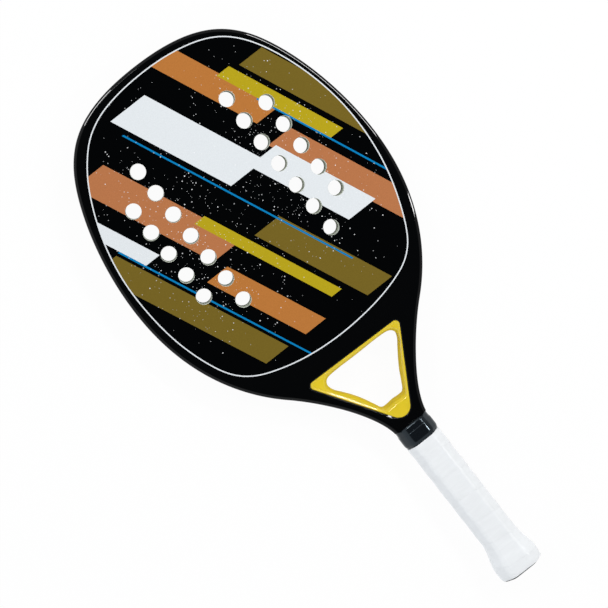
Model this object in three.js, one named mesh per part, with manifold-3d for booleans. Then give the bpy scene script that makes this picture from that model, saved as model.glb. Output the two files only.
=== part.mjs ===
// A beach tennis racket. A hollow composite tube is bent into the head, the two
// arms and the handle, and a bridge tube closes the head at the throat. A drilled
// foam core fills the head between two laminate faces, a moulded liner edges the
// throat, and two foam pallets carry the butt cap, the grips and the collar.
//
// Millimetres. +X runs across the face, +Y from the butt to the crown of the head
// and +Z out of the front face. The origin is the centre of the butt's end face.

import * as THREE from 'three';
import { mergeVertices } from 'three/addons/utils/BufferGeometryUtils.js';
import Module from 'manifold-3d';

const wasm = await Module();
wasm.setup();

// Whole racket
const length = 500;
const headWidth = 232.6;
const thickness = 22;
const edgeRadius = 5.5; // rounding of the frame's outer edges
const fit = 0.3; // gap between neighbouring pieces
const overrun = 6; // how far a cutting tool runs past what it cuts

// Outline of the head and arms: where each half passes, which way it runs there
// and how far each stretch keeps to that way. Shares up the head are of its height
// from the shoulders to the crown, shares across it of half its width, and shares
// of the arms of their height from the collar to the shoulders.
const widestUpShare = 0.4482;
const widestReachUpShare = 0.187;
const widestReachDownShare = 0.2051;
const crownReachShare = 0.4067; // across
const cornerAcrossShare = 0.7223;
const cornerUpShare = 0.8819;
const cornerAngle = THREE.MathUtils.degToRad(37.2); // away from the racket's axis
const cornerReachUpShare = 0.0808;
const cornerReachDownShare = 0.0917;
const shoulderOut = 21.2; // beyond the corner of the throat
const shoulderRise = 0.5; // above the throat
const shoulderAngle = THREE.MathUtils.degToRad(47);
const shoulderReachUpShare = 0.1413; // of the head
const shoulderReachDownShare = 0.3838; // of the arms
const neckHalfWidth = 15;
const neckReachShare = 0.2892; // of the arms
const neckDepth = 4.3; // how far inside the collar the arms end their taper

// Frame tube
const rim = 6.5; // from the outline to the edge of a face
const lap = 5; // how far a face laps over the tube and the bridge
const rimLeaveShare = 0.36; // where, from the widest point to the shoulder, the edge leaves the rim
const borderReachSideShare = 0.1377; // up the head
const borderReachFootShare = 0.5331; // across it
const headVoidWidth = 7.2;
const headVoidHeight = 15.2;
const armVoidWidth = 4.4;
const armVoidHeight = 15.2;
const stemVoidHeight = 8.4; // the same hollow, lower, from the arms down the handle
const voidRadius = 2.2;
const headVoidEndShare = 0.75; // where, from the widest point to the shoulder, the head's hollow ends
const armVoidStartShare = 0.5; // and the arm's hollow starts
const tubeWall = 2.1;

// Throat opening in the frame, a rounded triangle, and the bridge above it
const throatTopRise = 73.5; // above the collar
const throatHalfWidth = 44.3;
const throatFootDrop = 1.4; // below the collar's top, where the two long sides would meet
const throatTopRadius = 4;
const throatFootRadius = 10;
const bridgeDepth = 15; // from the throat to the edge of a face
const bridgeEnd = 4; // how far the bridge reaches past the corners of the throat
const bridgeWall = 3.5;

// Throat liner: its inner edge is rounded from both faces to its middle
const linerDepth = 4.8;
const linerLip = 0.9;
const linerRecess = 0.6; // below the faces of the frame
const gussetRise = 23.4; // above the collar
const openingTopRadius = 6;
const openingFootRadius = 2.6;

// Foam core and laminate faces, with the lightening holes drilled through them
const faceThickness = 1;
const holeDiameter = 12.5;
const rowPitchShare = 0.07674; // up the head
const innerColumnShare = 0.3783; // across it
const outerColumnShare = 0.5679;
const drillingUpShare = 0.5388;
const drillingOffset = -1.2;
const drillingTurn = THREE.MathUtils.degToRad(1.4); // the drilled pattern sits a little turned
const innerColumnHoles = 7;
const outerColumnHoles = 5;

// Handle, from the butt up
const gripLength = 133;
const collarLength = 17;
const stemWidth = 8.2; // each of the frame's two tubes inside the handle
const stemHeight = 12;
const stemRadius = 3;
const stemRoot = 5; // how far the tubes run into the neck
const palletWidth = 24.8;
const palletHeight = 20.3;
const frontFacetShare = 0.58; // flat facets, of the handle's width and height
const sideFacetShare = 0.4;
const facetRadius = 4;
const baseGripThickness = 1.5;
const overgripThickness = 1;

// Collar
const collarWidth = 30.1;
const collarHeight = 25.8;
const collarChamfer = 1.4;
const collarLip = 0.7; // rounding of its lower edge

// Butt cap, its flare under the grips, and the plug in its end
const capLength = 32;
const capFloor = 3.8;
const skirtThickness = 0.8;
const flangeThickness = 2.4;
const flangeWidth = 37.4;
const flangeHeight = 34.6;
const flangeRound = 0.9;
const flareLength = 36;
const flareWide = 4.6; // how far the flare stands out, across and along the thickness
const flareHigh = 4.2;
const flareEase = 0.6; // the overgrip bridges the hollow of the flare by this much
const flareShares = [ // place up the flare, and how far it stands out there
  [1, 0], [0.84, 0.09], [0.68, 0.26], [0.53, 0.5], [0.4, 0.76], [0.28, 0.95], [0.17, 1], [0, 0.84],
];
const plugWidth = 19;
const plugHeight = 16;
const plugThickness = 1.4;

// Overgrip tape: one strip wound up the handle
const tapePitch = 22;
const tapeSeam = 0.7; // between the edges of neighbouring turns
const stepsPerTurn = 24;

// Facets of the curved stretches
const curveSteps = 10;
const holeSides = 18;
const edgeSteps = 4;
const headSteps = 48;
const armSteps = 20;

// Colours
const gloss = { color: '#0a0b0c', roughness: 0.12, metalness: 0 };
const carbonLaminate = { color: '#101214', roughness: 0.15, metalness: 0 };
const foam = { color: '#b9c0b4', roughness: 0.95, metalness: 0 };
const yellowResin = { color: '#dcc42a', roughness: 0.3, metalness: 0 };
const palletFoam = { color: '#8c8f8a', roughness: 0.9, metalness: 0 };
const cushionTape = { color: '#2a2c2e', roughness: 0.8, metalness: 0 };
const tackyTape = { color: '#eaeef1', roughness: 0.55, metalness: 0 };
const softRubber = { color: '#15181b', roughness: 0.3, metalness: 0 };
const capPlastic = { color: '#131415', roughness: 0.4, metalness: 0 };

const halfThickness = thickness / 2;
const coreHalf = halfThickness - faceThickness - fit;
const shelfHeight = coreHalf; // the frame's faces under the laminate
const collarTopY = gripLength + collarLength;
const neckTopY = collarTopY + fit;
const stemX = fit + stemWidth / 2;
const throatTopY = collarTopY + throatTopRise;
const throatFootY = collarTopY - throatFootDrop;
const gussetTopY = collarTopY + gussetRise;
const shoulderX = throatHalfWidth + shoulderOut;
const shoulderY = throatTopY + shoulderRise;
const armHeight = shoulderY - collarTopY;
const headHeight = length - shoulderY;
const headHalf = headWidth / 2;

const vec = (x, y) => new THREE.Vector2(x, y);

// A place on the head by its shares across and up
const onHead = (across, up) => vec(across * headHalf, shoulderY + up * headHeight);

// Turns a closed geometry into a solid that can be joined and cut
function solid(geometry) {
  geometry.deleteAttribute('normal');
  geometry.deleteAttribute('uv');
  const merged = mergeVertices(geometry);
  return new wasm.Manifold(new wasm.Mesh({
    numProp: 3,
    vertProperties: new Float32Array(merged.attributes.position.array),
    triVerts: new Uint32Array(merged.index.array),
  }));
}

// Turns a solid back into a geometry
function geometryOf(body) {
  const mesh = body.getMesh();
  const positions = [];
  for (let i = 0; i < mesh.vertProperties.length; i += mesh.numProp) {
    positions.push(...mesh.vertProperties.slice(i, i + 3));
  }
  const geometry = new THREE.BufferGeometry();
  geometry.setAttribute('position', new THREE.Float32BufferAttribute(positions, 3));
  geometry.setIndex([...mesh.triVerts]);
  geometry.computeVertexNormals();
  return geometry;
}

// A closed plan outline, counter-clockwise, from the points of its +X half
function bothSides(half) {
  const left = half.map((p) => vec(-p.x, p.y));
  const right = half.filter((p) => p.x > 0).reverse();
  return [...left, ...right];
}

// Moves each point of a closed outline inwards, square to its edges
function inset(points, distance) {
  return points.map((p, i) => {
    const into = p.clone().sub(points.at(i - 1)).normalize();
    const out = points[(i + 1) % points.length].clone().sub(p).normalize();
    const across = vec(-into.y - out.y, into.x + out.x).normalize();
    return p.clone().addScaledVector(across, distance / across.dot(vec(-into.y, into.x)));
  });
}

// Rounds each corner of a polygon to an arc of a few steps
function rounded(corners, radii, steps) {
  return corners.flatMap((corner, i) => {
    const toLast = corners.at(i - 1).clone().sub(corner);
    const toNext = corners[(i + 1) % corners.length].clone().sub(corner);
    const room = Math.min(toLast.length(), toNext.length()) / 2;
    toLast.normalize();
    toNext.normalize();
    const halfAngle = Math.acos(toLast.dot(toNext)) / 2;
    const radius = Math.min(radii[i], room * Math.tan(halfAngle));
    const turn = Math.sign(toNext.cross(toLast));
    const sweep = turn * (Math.PI - 2 * halfAngle);
    const centre = toLast.clone().add(toNext).normalize();
    centre.multiplyScalar(radius / Math.sin(halfAngle)).add(corner);
    const start = toLast.multiplyScalar(radius / Math.tan(halfAngle)).add(corner);
    return Array.from({ length: steps + 1 }, (_, s) => (
      start.clone().rotateAround(centre, (sweep * s) / steps)));
  });
}

// A flat plate between two heights
function plate(points, low, high) {
  const shape = new THREE.Shape(points);
  const geometry = new THREE.ExtrudeGeometry(shape, { depth: high - low, bevelEnabled: false });
  return solid(geometry.translate(0, 0, low));
}

function block(lowX, highX, lowY, highY, lowZ, highZ) {
  const geometry = new THREE.BoxGeometry(highX - lowX, highY - lowY, highZ - lowZ);
  return solid(geometry.translate((lowX + highX) / 2, (lowY + highY) / 2, (lowZ + highZ) / 2));
}

// A rounded rectangle, as the section of a tube
function tubeSection(acrossX, acrossY, radius) {
  const x = acrossX / 2;
  const y = acrossY / 2;
  const corners = [vec(-x, -y), vec(x, -y), vec(x, y), vec(-x, y)];
  return new THREE.Shape(rounded(corners, corners.map(() => radius), 1));
}

// A bar of constant section along a flat path, its height along Z
function barAlong(path, width, height, radius, steps) {
  const section = tubeSection(height, width, radius);
  return solid(new THREE.ExtrudeGeometry(section, { extrudePath: path, steps, bevelEnabled: false }));
}

// A closed skin over rings of points. A looped one joins its last ring to its first.
function skin(rings, looped = false) {
  const count = rings[0].length;
  const positions = rings.flat().flatMap((p) => [p.x, p.y, p.z]);
  const index = [];
  const spans = looped ? rings.length : rings.length - 1;
  for (let i = 0; i < spans; i += 1) {
    const here = i * count;
    const next = ((i + 1) % rings.length) * count;
    for (let j = 0; j < count; j += 1) {
      const k = (j + 1) % count;
      index.push(here + j, next + j, next + k, here + j, next + k, here + k);
    }
  }
  if (!looped) {
    const last = (rings.length - 1) * count;
    for (let j = 1; j < count - 1; j += 1) {
      index.push(0, j, j + 1, last, last + j + 1, last + j);
    }
  }
  const geometry = new THREE.BufferGeometry();
  geometry.setAttribute('position', new THREE.Float32BufferAttribute(positions, 3));
  geometry.setIndex(index);
  return geometry;
}

// Plan curves of one half of the outline, from the crown to the neck
function outlineCurves() {
  const corner = onHead(cornerAcrossShare, cornerUpShare);
  const cornerWay = vec(Math.sin(cornerAngle), -Math.cos(cornerAngle));
  const widest = onHead(1, widestUpShare);
  const shoulder = vec(shoulderX, shoulderY);
  const shoulderWay = vec(-Math.sin(shoulderAngle), -Math.cos(shoulderAngle));
  const neck = vec(neckHalfWidth, collarTopY - neckDepth);
  const from = (point, way, reach) => point.clone().addScaledVector(way, reach);
  const down = vec(0, -1);
  return [
    new THREE.CubicBezierCurve(onHead(0, 1), onHead(crownReachShare, 1),
      from(corner, cornerWay, -cornerReachUpShare * headHeight), corner),
    new THREE.CubicBezierCurve(corner, from(corner, cornerWay, cornerReachDownShare * headHeight),
      from(widest, down, -widestReachUpShare * headHeight), widest),
    new THREE.CubicBezierCurve(widest, from(widest, down, widestReachDownShare * headHeight),
      from(shoulder, shoulderWay, -shoulderReachUpShare * headHeight), shoulder),
    new THREE.CubicBezierCurve(shoulder, from(shoulder, shoulderWay, shoulderReachDownShare * armHeight),
      from(neck, down, -neckReachShare * armHeight), neck),
  ];
}

const curves = outlineCurves();

function halfOutline() {
  const points = curves.flatMap((curve) => curve.getPoints(curveSteps).slice(0, -1));
  return [...points, curves.at(-1).getPoint(1), vec(neckHalfWidth, gripLength)];
}

// A point beside the outline, square to it
function besideOutline(curve, share, distance) {
  const way = curve.getTangent(share);
  return curve.getPoint(share).add(vec(way.y, -way.x).multiplyScalar(distance));
}

// Edge of a face: it follows the rim, leaves it above the shoulder and crosses
// over the bridge
function halfBorder() {
  const [crown, side, flank] = curves;
  const along = (curve, until) => Array.from({ length: curveSteps }, (_, i) => (
    besideOutline(curve, (until * i) / curveSteps, rim)));
  const leave = besideOutline(flank, rimLeaveShare, rim);
  const way = flank.getTangent(rimLeaveShare);
  const foot = vec(0, throatTopY + bridgeDepth);
  const across = new THREE.CubicBezierCurve(leave,
    leave.clone().addScaledVector(way, borderReachSideShare * headHeight),
    vec(borderReachFootShare * headHalf, foot.y), foot);
  const rimmed = [...along(crown, 1), ...along(side, 1), ...along(flank, rimLeaveShare)];
  return [...rimmed, ...across.getPoints(curveSteps)];
}

const outline = bothSides(halfOutline());
const border = bothSides(halfBorder());

function throatOutline() {
  const corners = [vec(-throatHalfWidth, throatTopY), vec(0, throatFootY), vec(throatHalfWidth, throatTopY)];
  return rounded(corners, [throatTopRadius, throatFootRadius, throatTopRadius], edgeSteps);
}

// Lightening holes, as cutters through the whole head
function drillings() {
  const centre = onHead(0, drillingUpShare).add(vec(drillingOffset, 0));
  const columns = [[innerColumnShare, innerColumnHoles], [outerColumnShare, outerColumnHoles]];
  const places = [];
  for (const side of [-1, 1]) {
    for (const [across, count] of columns) {
      for (let row = 0; row < count; row += 1) {
        const up = (row - (count - 1) / 2) * rowPitchShare;
        places.push(vec(side * across * headHalf, up * headHeight).add(centre));
      }
    }
  }
  return places.map((place) => {
    place.rotateAround(centre, drillingTurn);
    const radius = holeDiameter / 2;
    const cutter = new THREE.CylinderGeometry(radius, radius, thickness + overrun, holeSides);
    return solid(cutter.rotateX(Math.PI / 2).translate(place.x, place.y, 0));
  });
}

// Cuts away every drilling
function drilled(body) {
  return drillings().reduce((rest, cutter) => rest.subtract(cutter), body);
}

// The frame before it is hollowed: head, arms and neck in one rounded plate, with
// the places cut out for the core, the faces and the throat
function frameBlank() {
  const plan = new THREE.Shape(outline);
  const body = solid(new THREE.ExtrudeGeometry(plan, {
    depth: thickness - 2 * edgeRadius,
    bevelThickness: edgeRadius,
    bevelSize: edgeRadius,
    bevelOffset: -edgeRadius,
    bevelSegments: edgeSteps,
  }).translate(0, 0, edgeRadius - halfThickness));
  const below = block(-headWidth, headWidth, -overrun, neckTopY, -thickness, thickness);
  return body
    .subtract(below)
    .subtract(plate(inset(border, lap), -thickness, thickness))
    .subtract(plate(border, shelfHeight, thickness))
    .subtract(plate(border, -thickness, -shelfHeight));
}

function throatCutter() {
  return plate(throatOutline(), -thickness, thickness);
}

// The space of the bridge between the shoulders of the frame
function bridgeSpace(clearance) {
  const end = throatHalfWidth + bridgeEnd - clearance;
  const high = throatTopY + bridgeDepth + lap + overrun;
  return block(-end, end, throatTopY - throatTopRadius, high, -thickness, thickness);
}

// A straight bar up the handle
function barUp(x, lowY, highY, width, height, radius) {
  const path = new THREE.LineCurve3(new THREE.Vector3(x, lowY, 0), new THREE.Vector3(x, highY, 0));
  return barAlong(path, width, height, radius, 1);
}

// The two tubes that run down the handle
function stems() {
  return [-stemX, stemX].map((x) => (
    barUp(x, capFloor + fit, neckTopY + stemRoot, stemWidth, stemHeight, stemRadius)));
}

// A smooth flat path, on the +X side or mirrored
function smoothPath(points, side = 1) {
  const places = points.map((p) => new THREE.Vector3(side * p.x, p.y, 0));
  return new THREE.CatmullRomCurve3(places, false, 'centripetal');
}

// Centre line of the hollow beside the shoulder and down the arm
function armPoints() {
  const [, , flank, arm] = curves;
  const depth = tubeWall + armVoidWidth / 2;
  const clearOfFoot = throatFootY + throatFootRadius + linerDepth;
  const along = [];
  for (let i = 0; i < curveSteps; i += 1) {
    const share = THREE.MathUtils.lerp(armVoidStartShare, 1, i / curveSteps);
    along.push(besideOutline(flank, share, depth));
  }
  for (let i = 0; i < curveSteps; i += 1) {
    const point = besideOutline(arm, i / curveSteps, depth);
    if (point.y > clearOfFoot) along.push(point);
  }
  return along;
}

// It goes on, lower, into the top of the tube that runs down the handle
function neckPoints() {
  return [...armPoints().slice(curveSteps), vec(stemX, neckTopY)];
}

// Centre line of the hollow around the head, from shoulder to shoulder
function headPath() {
  const [crown, side, flank] = curves;
  const depth = tubeWall + headVoidWidth / 2;
  const half = [];
  for (const [curve, until] of [[crown, 1], [side, 1], [flank, headVoidEndShare]]) {
    for (let i = 0; i < curveSteps; i += 1) half.push(besideOutline(curve, (until * i) / curveSteps, depth));
  }
  const left = half.slice(1).reverse().map((p) => vec(-p.x, p.y));
  return smoothPath([...left, ...half]);
}

function frameTube(blank) {
  const whole = stems().reduce((sum, stem) => sum.add(stem), blank.subtract(bridgeSpace(0)));
  const hollows = [barAlong(headPath(), headVoidWidth, headVoidHeight, voidRadius, headSteps)];
  for (const side of [-1, 1]) {
    const arm = smoothPath(armPoints(), side);
    const neck = smoothPath(neckPoints(), side);
    hollows.push(barAlong(arm, armVoidWidth, armVoidHeight, voidRadius, armSteps));
    hollows.push(barAlong(neck, armVoidWidth, stemVoidHeight, voidRadius, armSteps));
    hollows.push(barUp(side * stemX, -overrun, neckTopY, armVoidWidth, stemVoidHeight, voidRadius));
  }
  return hollows.reduce((rest, hollow) => rest.subtract(hollow), whole.subtract(throatCutter()));
}

function throatBridge(blank) {
  const low = throatTopY + bridgeWall;
  const high = throatTopY + bridgeDepth + lap - bridgeWall;
  const end = throatHalfWidth + bridgeEnd + overrun;
  const middle = (low + high) / 2;
  const path = new THREE.LineCurve3(new THREE.Vector3(-end, middle, 0), new THREE.Vector3(end, middle, 0));
  return blank
    .intersect(bridgeSpace(fit))
    .subtract(throatCutter())
    .subtract(barAlong(path, high - low, headVoidHeight, voidRadius, 1));
}

// The opening through the liner at one depth: 0 at its narrow middle, 1 at a face
function linerOpening(depthShare) {
  const [left, , right] = inset([vec(-throatHalfWidth, throatTopY), vec(0, throatFootY),
    vec(throatHalfWidth, throatTopY)], linerDepth);
  const slope = throatHalfWidth / (throatTopY - throatFootY);
  const gussetHalf = right.x - slope * (right.y - gussetTopY);
  const corners = [left, vec(-gussetHalf, gussetTopY), vec(gussetHalf, gussetTopY), right];
  const radii = [openingTopRadius, openingFootRadius, openingFootRadius, openingTopRadius];
  const waist = rounded(corners, radii, edgeSteps);
  return inset(waist, -(linerDepth - linerLip) * (1 - Math.sqrt(1 - depthShare ** 2)));
}

function throatLiner() {
  const half = halfThickness - linerRecess;
  const steps = 2 * edgeSteps;
  const rings = [];
  const ringAt = (points, z) => rings.push(points.map((p) => new THREE.Vector3(p.x, p.y, z)));
  ringAt(linerOpening(1), half + overrun);
  for (let i = 0; i <= steps; i += 1) {
    const share = Math.cos((Math.PI * i) / steps);
    ringAt(linerOpening(Math.abs(share)), half * share);
  }
  ringAt(linerOpening(1), -half - overrun);
  return plate(inset(throatOutline(), fit), -half, half).subtract(solid(skin(rings)));
}

function foamCore() {
  return drilled(plate(inset(border, lap + fit), -coreHalf, coreHalf));
}

function face(low, high) {
  return drilled(plate(inset(border, fit), low, high));
}

// One ring of the handle's eight-sided section
function handleRing(y, halfWidth, halfHeight) {
  const f = frontFacetShare * halfWidth;
  const s = sideFacetShare * halfHeight;
  const corners = [vec(halfWidth, -s), vec(halfWidth, s), vec(f, halfHeight), vec(-f, halfHeight),
    vec(-halfWidth, s), vec(-halfWidth, -s), vec(-f, -halfHeight), vec(f, -halfHeight)];
  const radii = corners.map(() => facetRadius);
  const ring = rounded(corners, radii, stepsPerTurn / corners.length - 1);
  return ring.map((p) => new THREE.Vector3(p.x, y, p.y));
}

// How far the flare stands out at a height, as a share
function flareShare(y) {
  const along = Math.min(Math.max(y / flareLength, 0), 1);
  const next = flareShares.findIndex(([place]) => place <= along);
  if (next <= 0) return flareShares[0][1];
  const [highPlace, highOut] = flareShares[next - 1];
  const [lowPlace, lowOut] = flareShares[next];
  return THREE.MathUtils.mapLinear(along, lowPlace, highPlace, lowOut, highOut);
}

// A ring of a layer that lies this far outside the pallets, over the flare
function layerRing(y, layer, ease = 0) {
  const out = flareShare(y);
  const wide = palletWidth / 2 + layer + Math.max(flareWide * out - ease, 0);
  const high = palletHeight / 2 + layer + Math.max(flareHigh * out - ease, 0);
  return handleRing(y, wide, high);
}

// Heights at which the flare bends, between two ends
function flareHeights(low, high) {
  const bends = flareShares.map(([place]) => place * flareLength).filter((y) => y > low && y < high);
  return [low, ...bends.sort((a, b) => a - b), high];
}

const slimLayer = -skirtThickness - fit; // the pallets are slimmer inside the cap
const baseGripInner = fit;
const baseGripOuter = baseGripInner + baseGripThickness;
const overgripInner = baseGripOuter + fit;
const overgripOuter = overgripInner + overgripThickness;

// A pallet ring, straight down the handle
const palletRing = (y, layer) => handleRing(y, palletWidth / 2 + layer, palletHeight / 2 + layer);

// Both pallets as one shell around the frame's two tubes
function palletShell() {
  const low = capFloor + fit;
  const rings = [palletRing(low, slimLayer), palletRing(capLength + fit, slimLayer),
    palletRing(capLength + fit, 0), palletRing(collarTopY, 0)];
  const cavity = barUp(0, low - overrun, collarTopY + overrun, 2 * (stemX + fit) + stemWidth,
    stemHeight + 2 * fit, stemRadius + fit);
  return solid(skin(rings)).subtract(cavity);
}

function pallet(shell, side) {
  const far = side * palletHeight;
  const near = (side * fit) / 2;
  const half = block(-palletWidth, palletWidth, -overrun, length, Math.min(near, far), Math.max(near, far));
  return shell.intersect(half);
}

function baseGrip() {
  const low = flangeThickness + fit;
  const high = gripLength - fit;
  const heights = flareHeights(low, high);
  const outside = heights.map((y) => layerRing(y, baseGripOuter, flareEase));
  const inside = heights.map((y) => layerRing(y, baseGripInner, flareEase)).reverse();
  return skin([...outside, ...inside], true);
}

// One section of the tape at a step of the winding: its lower edge, middle and
// upper edge, inside and out
function tapeSection(step) {
  const middle = tapePitch * (step / stepsPerTurn - 1 / 2);
  const half = (tapePitch - tapeSeam) / 2;
  const spoke = step % stepsPerTurn;
  const at = (y, layer) => layerRing(y, layer)[spoke];
  return [at(middle - half, overgripOuter), at(middle - half, overgripInner), at(middle, overgripInner),
    at(middle + half, overgripInner), at(middle + half, overgripOuter), at(middle, overgripOuter)];
}

// The strip runs past both ends of the grip and is trimmed square there
function overgrip() {
  const low = flangeThickness + fit;
  const high = gripLength - fit;
  const turns = Math.ceil(high / tapePitch) + 1;
  const sections = Array.from({ length: turns * stepsPerTurn + 1 }, (_, step) => tapeSection(step));
  const gaps = sections.slice(stepsPerTurn).map((section, i) => section[0].distanceTo(sections[i][4]));
  console.log(`overgrip: least gap between its turns ${Math.min(...gaps).toFixed(2)} mm`);
  return solid(skin(sections)).intersect(block(-headWidth, headWidth, low, high, -headWidth, headWidth));
}

function gripCollar() {
  const wide = collarWidth / 2;
  const high = collarHeight / 2;
  const outside = [
    handleRing(gripLength, wide - collarLip, high - collarLip),
    handleRing(gripLength + collarLip, wide, high),
    handleRing(collarTopY - collarChamfer, wide, high),
    handleRing(collarTopY, wide - fit, high - collarChamfer),
  ];
  const inside = [palletRing(collarTopY, fit), palletRing(gripLength, fit)];
  return skin([...outside, ...inside], true);
}

function buttCap() {
  const wide = flangeWidth / 2;
  const high = flangeHeight / 2;
  const skirt = flareHeights(flangeThickness, capLength).map((y) => layerRing(y, 0, flareEase));
  const outside = [handleRing(0, wide - flangeRound, high - flangeRound), handleRing(flangeRound, wide, high),
    handleRing(flangeThickness, wide, high), ...skirt];
  const cavity = [palletRing(capFloor, slimLayer + fit), palletRing(capLength + overrun, slimLayer + fit)];
  const recess = [handleRing(-overrun, plugWidth / 2 + fit, plugHeight / 2 + fit),
    handleRing(plugThickness + fit, plugWidth / 2 + fit, plugHeight / 2 + fit)];
  return solid(skin(outside)).subtract(solid(skin(cavity))).subtract(solid(skin(recess)));
}

function buttPlug() {
  const ringAt = (y) => handleRing(y, plugWidth / 2, plugHeight / 2);
  return skin([ringAt(0), ringAt(plugThickness)]);
}

const racket = new THREE.Group();

function addPiece(name, geometry, finish) {
  const mesh = new THREE.Mesh(geometry, new THREE.MeshStandardMaterial(finish));
  mesh.name = name;
  racket.add(mesh);
}

const blank = frameBlank();
const shell = palletShell();

addPiece('frame_tube', geometryOf(frameTube(blank)), gloss);
addPiece('throat_bridge', geometryOf(throatBridge(blank)), gloss);
addPiece('foam_core', geometryOf(foamCore()), foam);
addPiece('front_face', geometryOf(face(coreHalf + fit, halfThickness)), carbonLaminate);
addPiece('back_face', geometryOf(face(-halfThickness, -coreHalf - fit)), carbonLaminate);
addPiece('throat_liner', geometryOf(throatLiner()), yellowResin);
addPiece('handle_pallet_front', geometryOf(pallet(shell, 1)), palletFoam);
addPiece('handle_pallet_back', geometryOf(pallet(shell, -1)), palletFoam);
addPiece('base_grip', baseGrip(), cushionTape);
addPiece('overgrip', geometryOf(overgrip()), tackyTape);
addPiece('grip_collar', gripCollar(), softRubber);
addPiece('butt_cap', geometryOf(buttCap()), capPlastic);
addPiece('butt_plug', buttPlug(), capPlastic);

export default racket;
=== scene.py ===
"""The beach tennis racket as it looks: its dressed pieces, the studio and the camera.

Lengths are in millimetres until a mesh is made, and the studio's are in metres. +X
runs across the face, +Y from the butt to the crown of the head and +Z out of the
front face.
"""

import logging
import math
from collections.abc import Callable, Iterable, Sequence
from dataclasses import dataclass, field, replace
from enum import Enum
from functools import cache
from typing import TypeVar

import bmesh
import bpy
import numpy as np
from mathutils import Matrix, Vector
from mathutils.geometry import delaunay_2d_cdt


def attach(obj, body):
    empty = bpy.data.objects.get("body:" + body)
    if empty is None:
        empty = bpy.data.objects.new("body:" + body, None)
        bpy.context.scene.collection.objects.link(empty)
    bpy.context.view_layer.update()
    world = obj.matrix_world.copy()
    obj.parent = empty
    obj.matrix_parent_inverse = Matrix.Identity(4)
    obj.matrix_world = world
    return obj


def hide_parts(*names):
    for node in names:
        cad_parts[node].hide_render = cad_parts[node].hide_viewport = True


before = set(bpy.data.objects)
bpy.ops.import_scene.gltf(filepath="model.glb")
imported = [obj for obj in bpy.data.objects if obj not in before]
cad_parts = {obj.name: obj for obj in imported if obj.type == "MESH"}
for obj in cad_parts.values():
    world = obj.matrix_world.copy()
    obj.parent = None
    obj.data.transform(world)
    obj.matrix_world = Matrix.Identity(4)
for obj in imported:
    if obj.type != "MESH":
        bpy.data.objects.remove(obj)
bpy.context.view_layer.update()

log = logging.getLogger("racket")

MM = 0.001  # metres in a millimetre
NO_LENGTH = 1e-6  # an edge this short, in metres, is no edge
TINY = 1e-6  # a difference this small, in millimetres or as a share, is none
CLOSEST_CORNER = 0.5  # a corner moves out by up to twice the distance of its edges
FLATS_WEIGHT = 80  # above 50 the large faces lead the shading of the small ones beside them
NOISE_VALUES = (0.3, 0.7)  # nearly all values of a noise lie between these
Point = tuple[float, float]
Place = tuple[float, float, float]
Plan = list[Vector]  # a closed outline seen from the front, counter-clockwise
Faces = list[list[int]]  # each face as the numbers of its points
Tree = bpy.types.NodeTree
Node = bpy.types.Node
Value = TypeVar("Value", float, Vector)


# Plan curves

def held(value: float) -> float:
    """Holds a value between 0 and 1."""
    return min(max(value, 0.0), 1.0)


def gentle(share: float) -> float:
    """Turns a share from 0 to 1 into one that starts and ends gently."""
    return share * share * (3 - 2 * share)


def between(start: Value, leave: Value, end: Value, arrive: Value, t: float) -> Value:
    """Follows a smooth curve from one value to another.

    Args:
        start: The first value.
        leave: How fast it changes there, as a step over the whole way.
        end: The last value.
        arrive: How fast it changes there.
        t: How far along, from 0 to 1.

    Returns:
        The value there.
    """
    return (start * (2 * t**3 - 3 * t**2 + 1) + leave * (t**3 - 2 * t**2 + t)
            + end * (3 * t**2 - 2 * t**3) + arrive * (t**3 - t**2))


def smooth_loop(points: Sequence[Point], steps: int) -> Plan:
    """Draws a closed centripetal curve through points.

    Args:
        points: The points, counter-clockwise.
        steps: How many short edges lie between two of them.

    Returns:
        The closed outline.
    """
    places = [Vector(p) for p in points]
    loop = []
    for i, start in enumerate(places):
        before, end, after = (places[(i + k) % len(places)] for k in (-1, 1, 2))
        first = math.sqrt((start - before).length)
        middle = math.sqrt((end - start).length)
        last = math.sqrt((after - end).length)
        leave = (start - before) / first - (end - before) / (first + middle) + (end - start) / middle
        arrive = (end - start) / middle - (after - start) / (middle + last) + (after - end) / last
        loop += [between(start, leave * middle, end, arrive * middle, k / steps) for k in range(steps)]
    return loop


def beside(loop: Plan, distance: float) -> Plan:
    """Moves a closed outline outwards, square to its edges.

    Args:
        loop: The outline, counter-clockwise.
        distance: How far out, or inwards where it is negative.

    Returns:
        The moved outline, point for point.
    """
    moved = []
    for i, point in enumerate(loop):
        into = (point - loop[i - 1]).normalized()
        out = (loop[(i + 1) % len(loop)] - point).normalized()
        across = Vector((into.y + out.y, -into.x - out.x)).normalized()
        turned = across.dot(Vector((into.y, -into.x)))
        moved.append(point + across * distance / max(turned, CLOSEST_CORNER))
    return moved


def rounded(corners: Sequence[Point], radii: Sequence[float], steps: int) -> Plan:
    """Rounds the corners of a polygon.

    Args:
        corners: The corners, counter-clockwise.
        radii: The radius at each corner.
        steps: How many short edges each arc has.

    Returns:
        The rounded outline.
    """
    loop = []
    places = [Vector(c) for c in corners]
    for i, corner in enumerate(places):
        to_last = (places[i - 1] - corner).normalized()
        to_next = (places[(i + 1) % len(places)] - corner).normalized()
        half = math.acos(max(-1.0, min(1.0, to_last.dot(to_next)))) / 2
        centre = corner + (to_last + to_next).normalized() * radii[i] / math.sin(half)
        start = corner + to_last * radii[i] / math.tan(half) - centre
        sweep = math.pi - 2 * half
        for step in range(steps + 1):
            loop.append(centre + Matrix.Rotation(sweep * step / steps, 2) @ start)
    return loop


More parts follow.
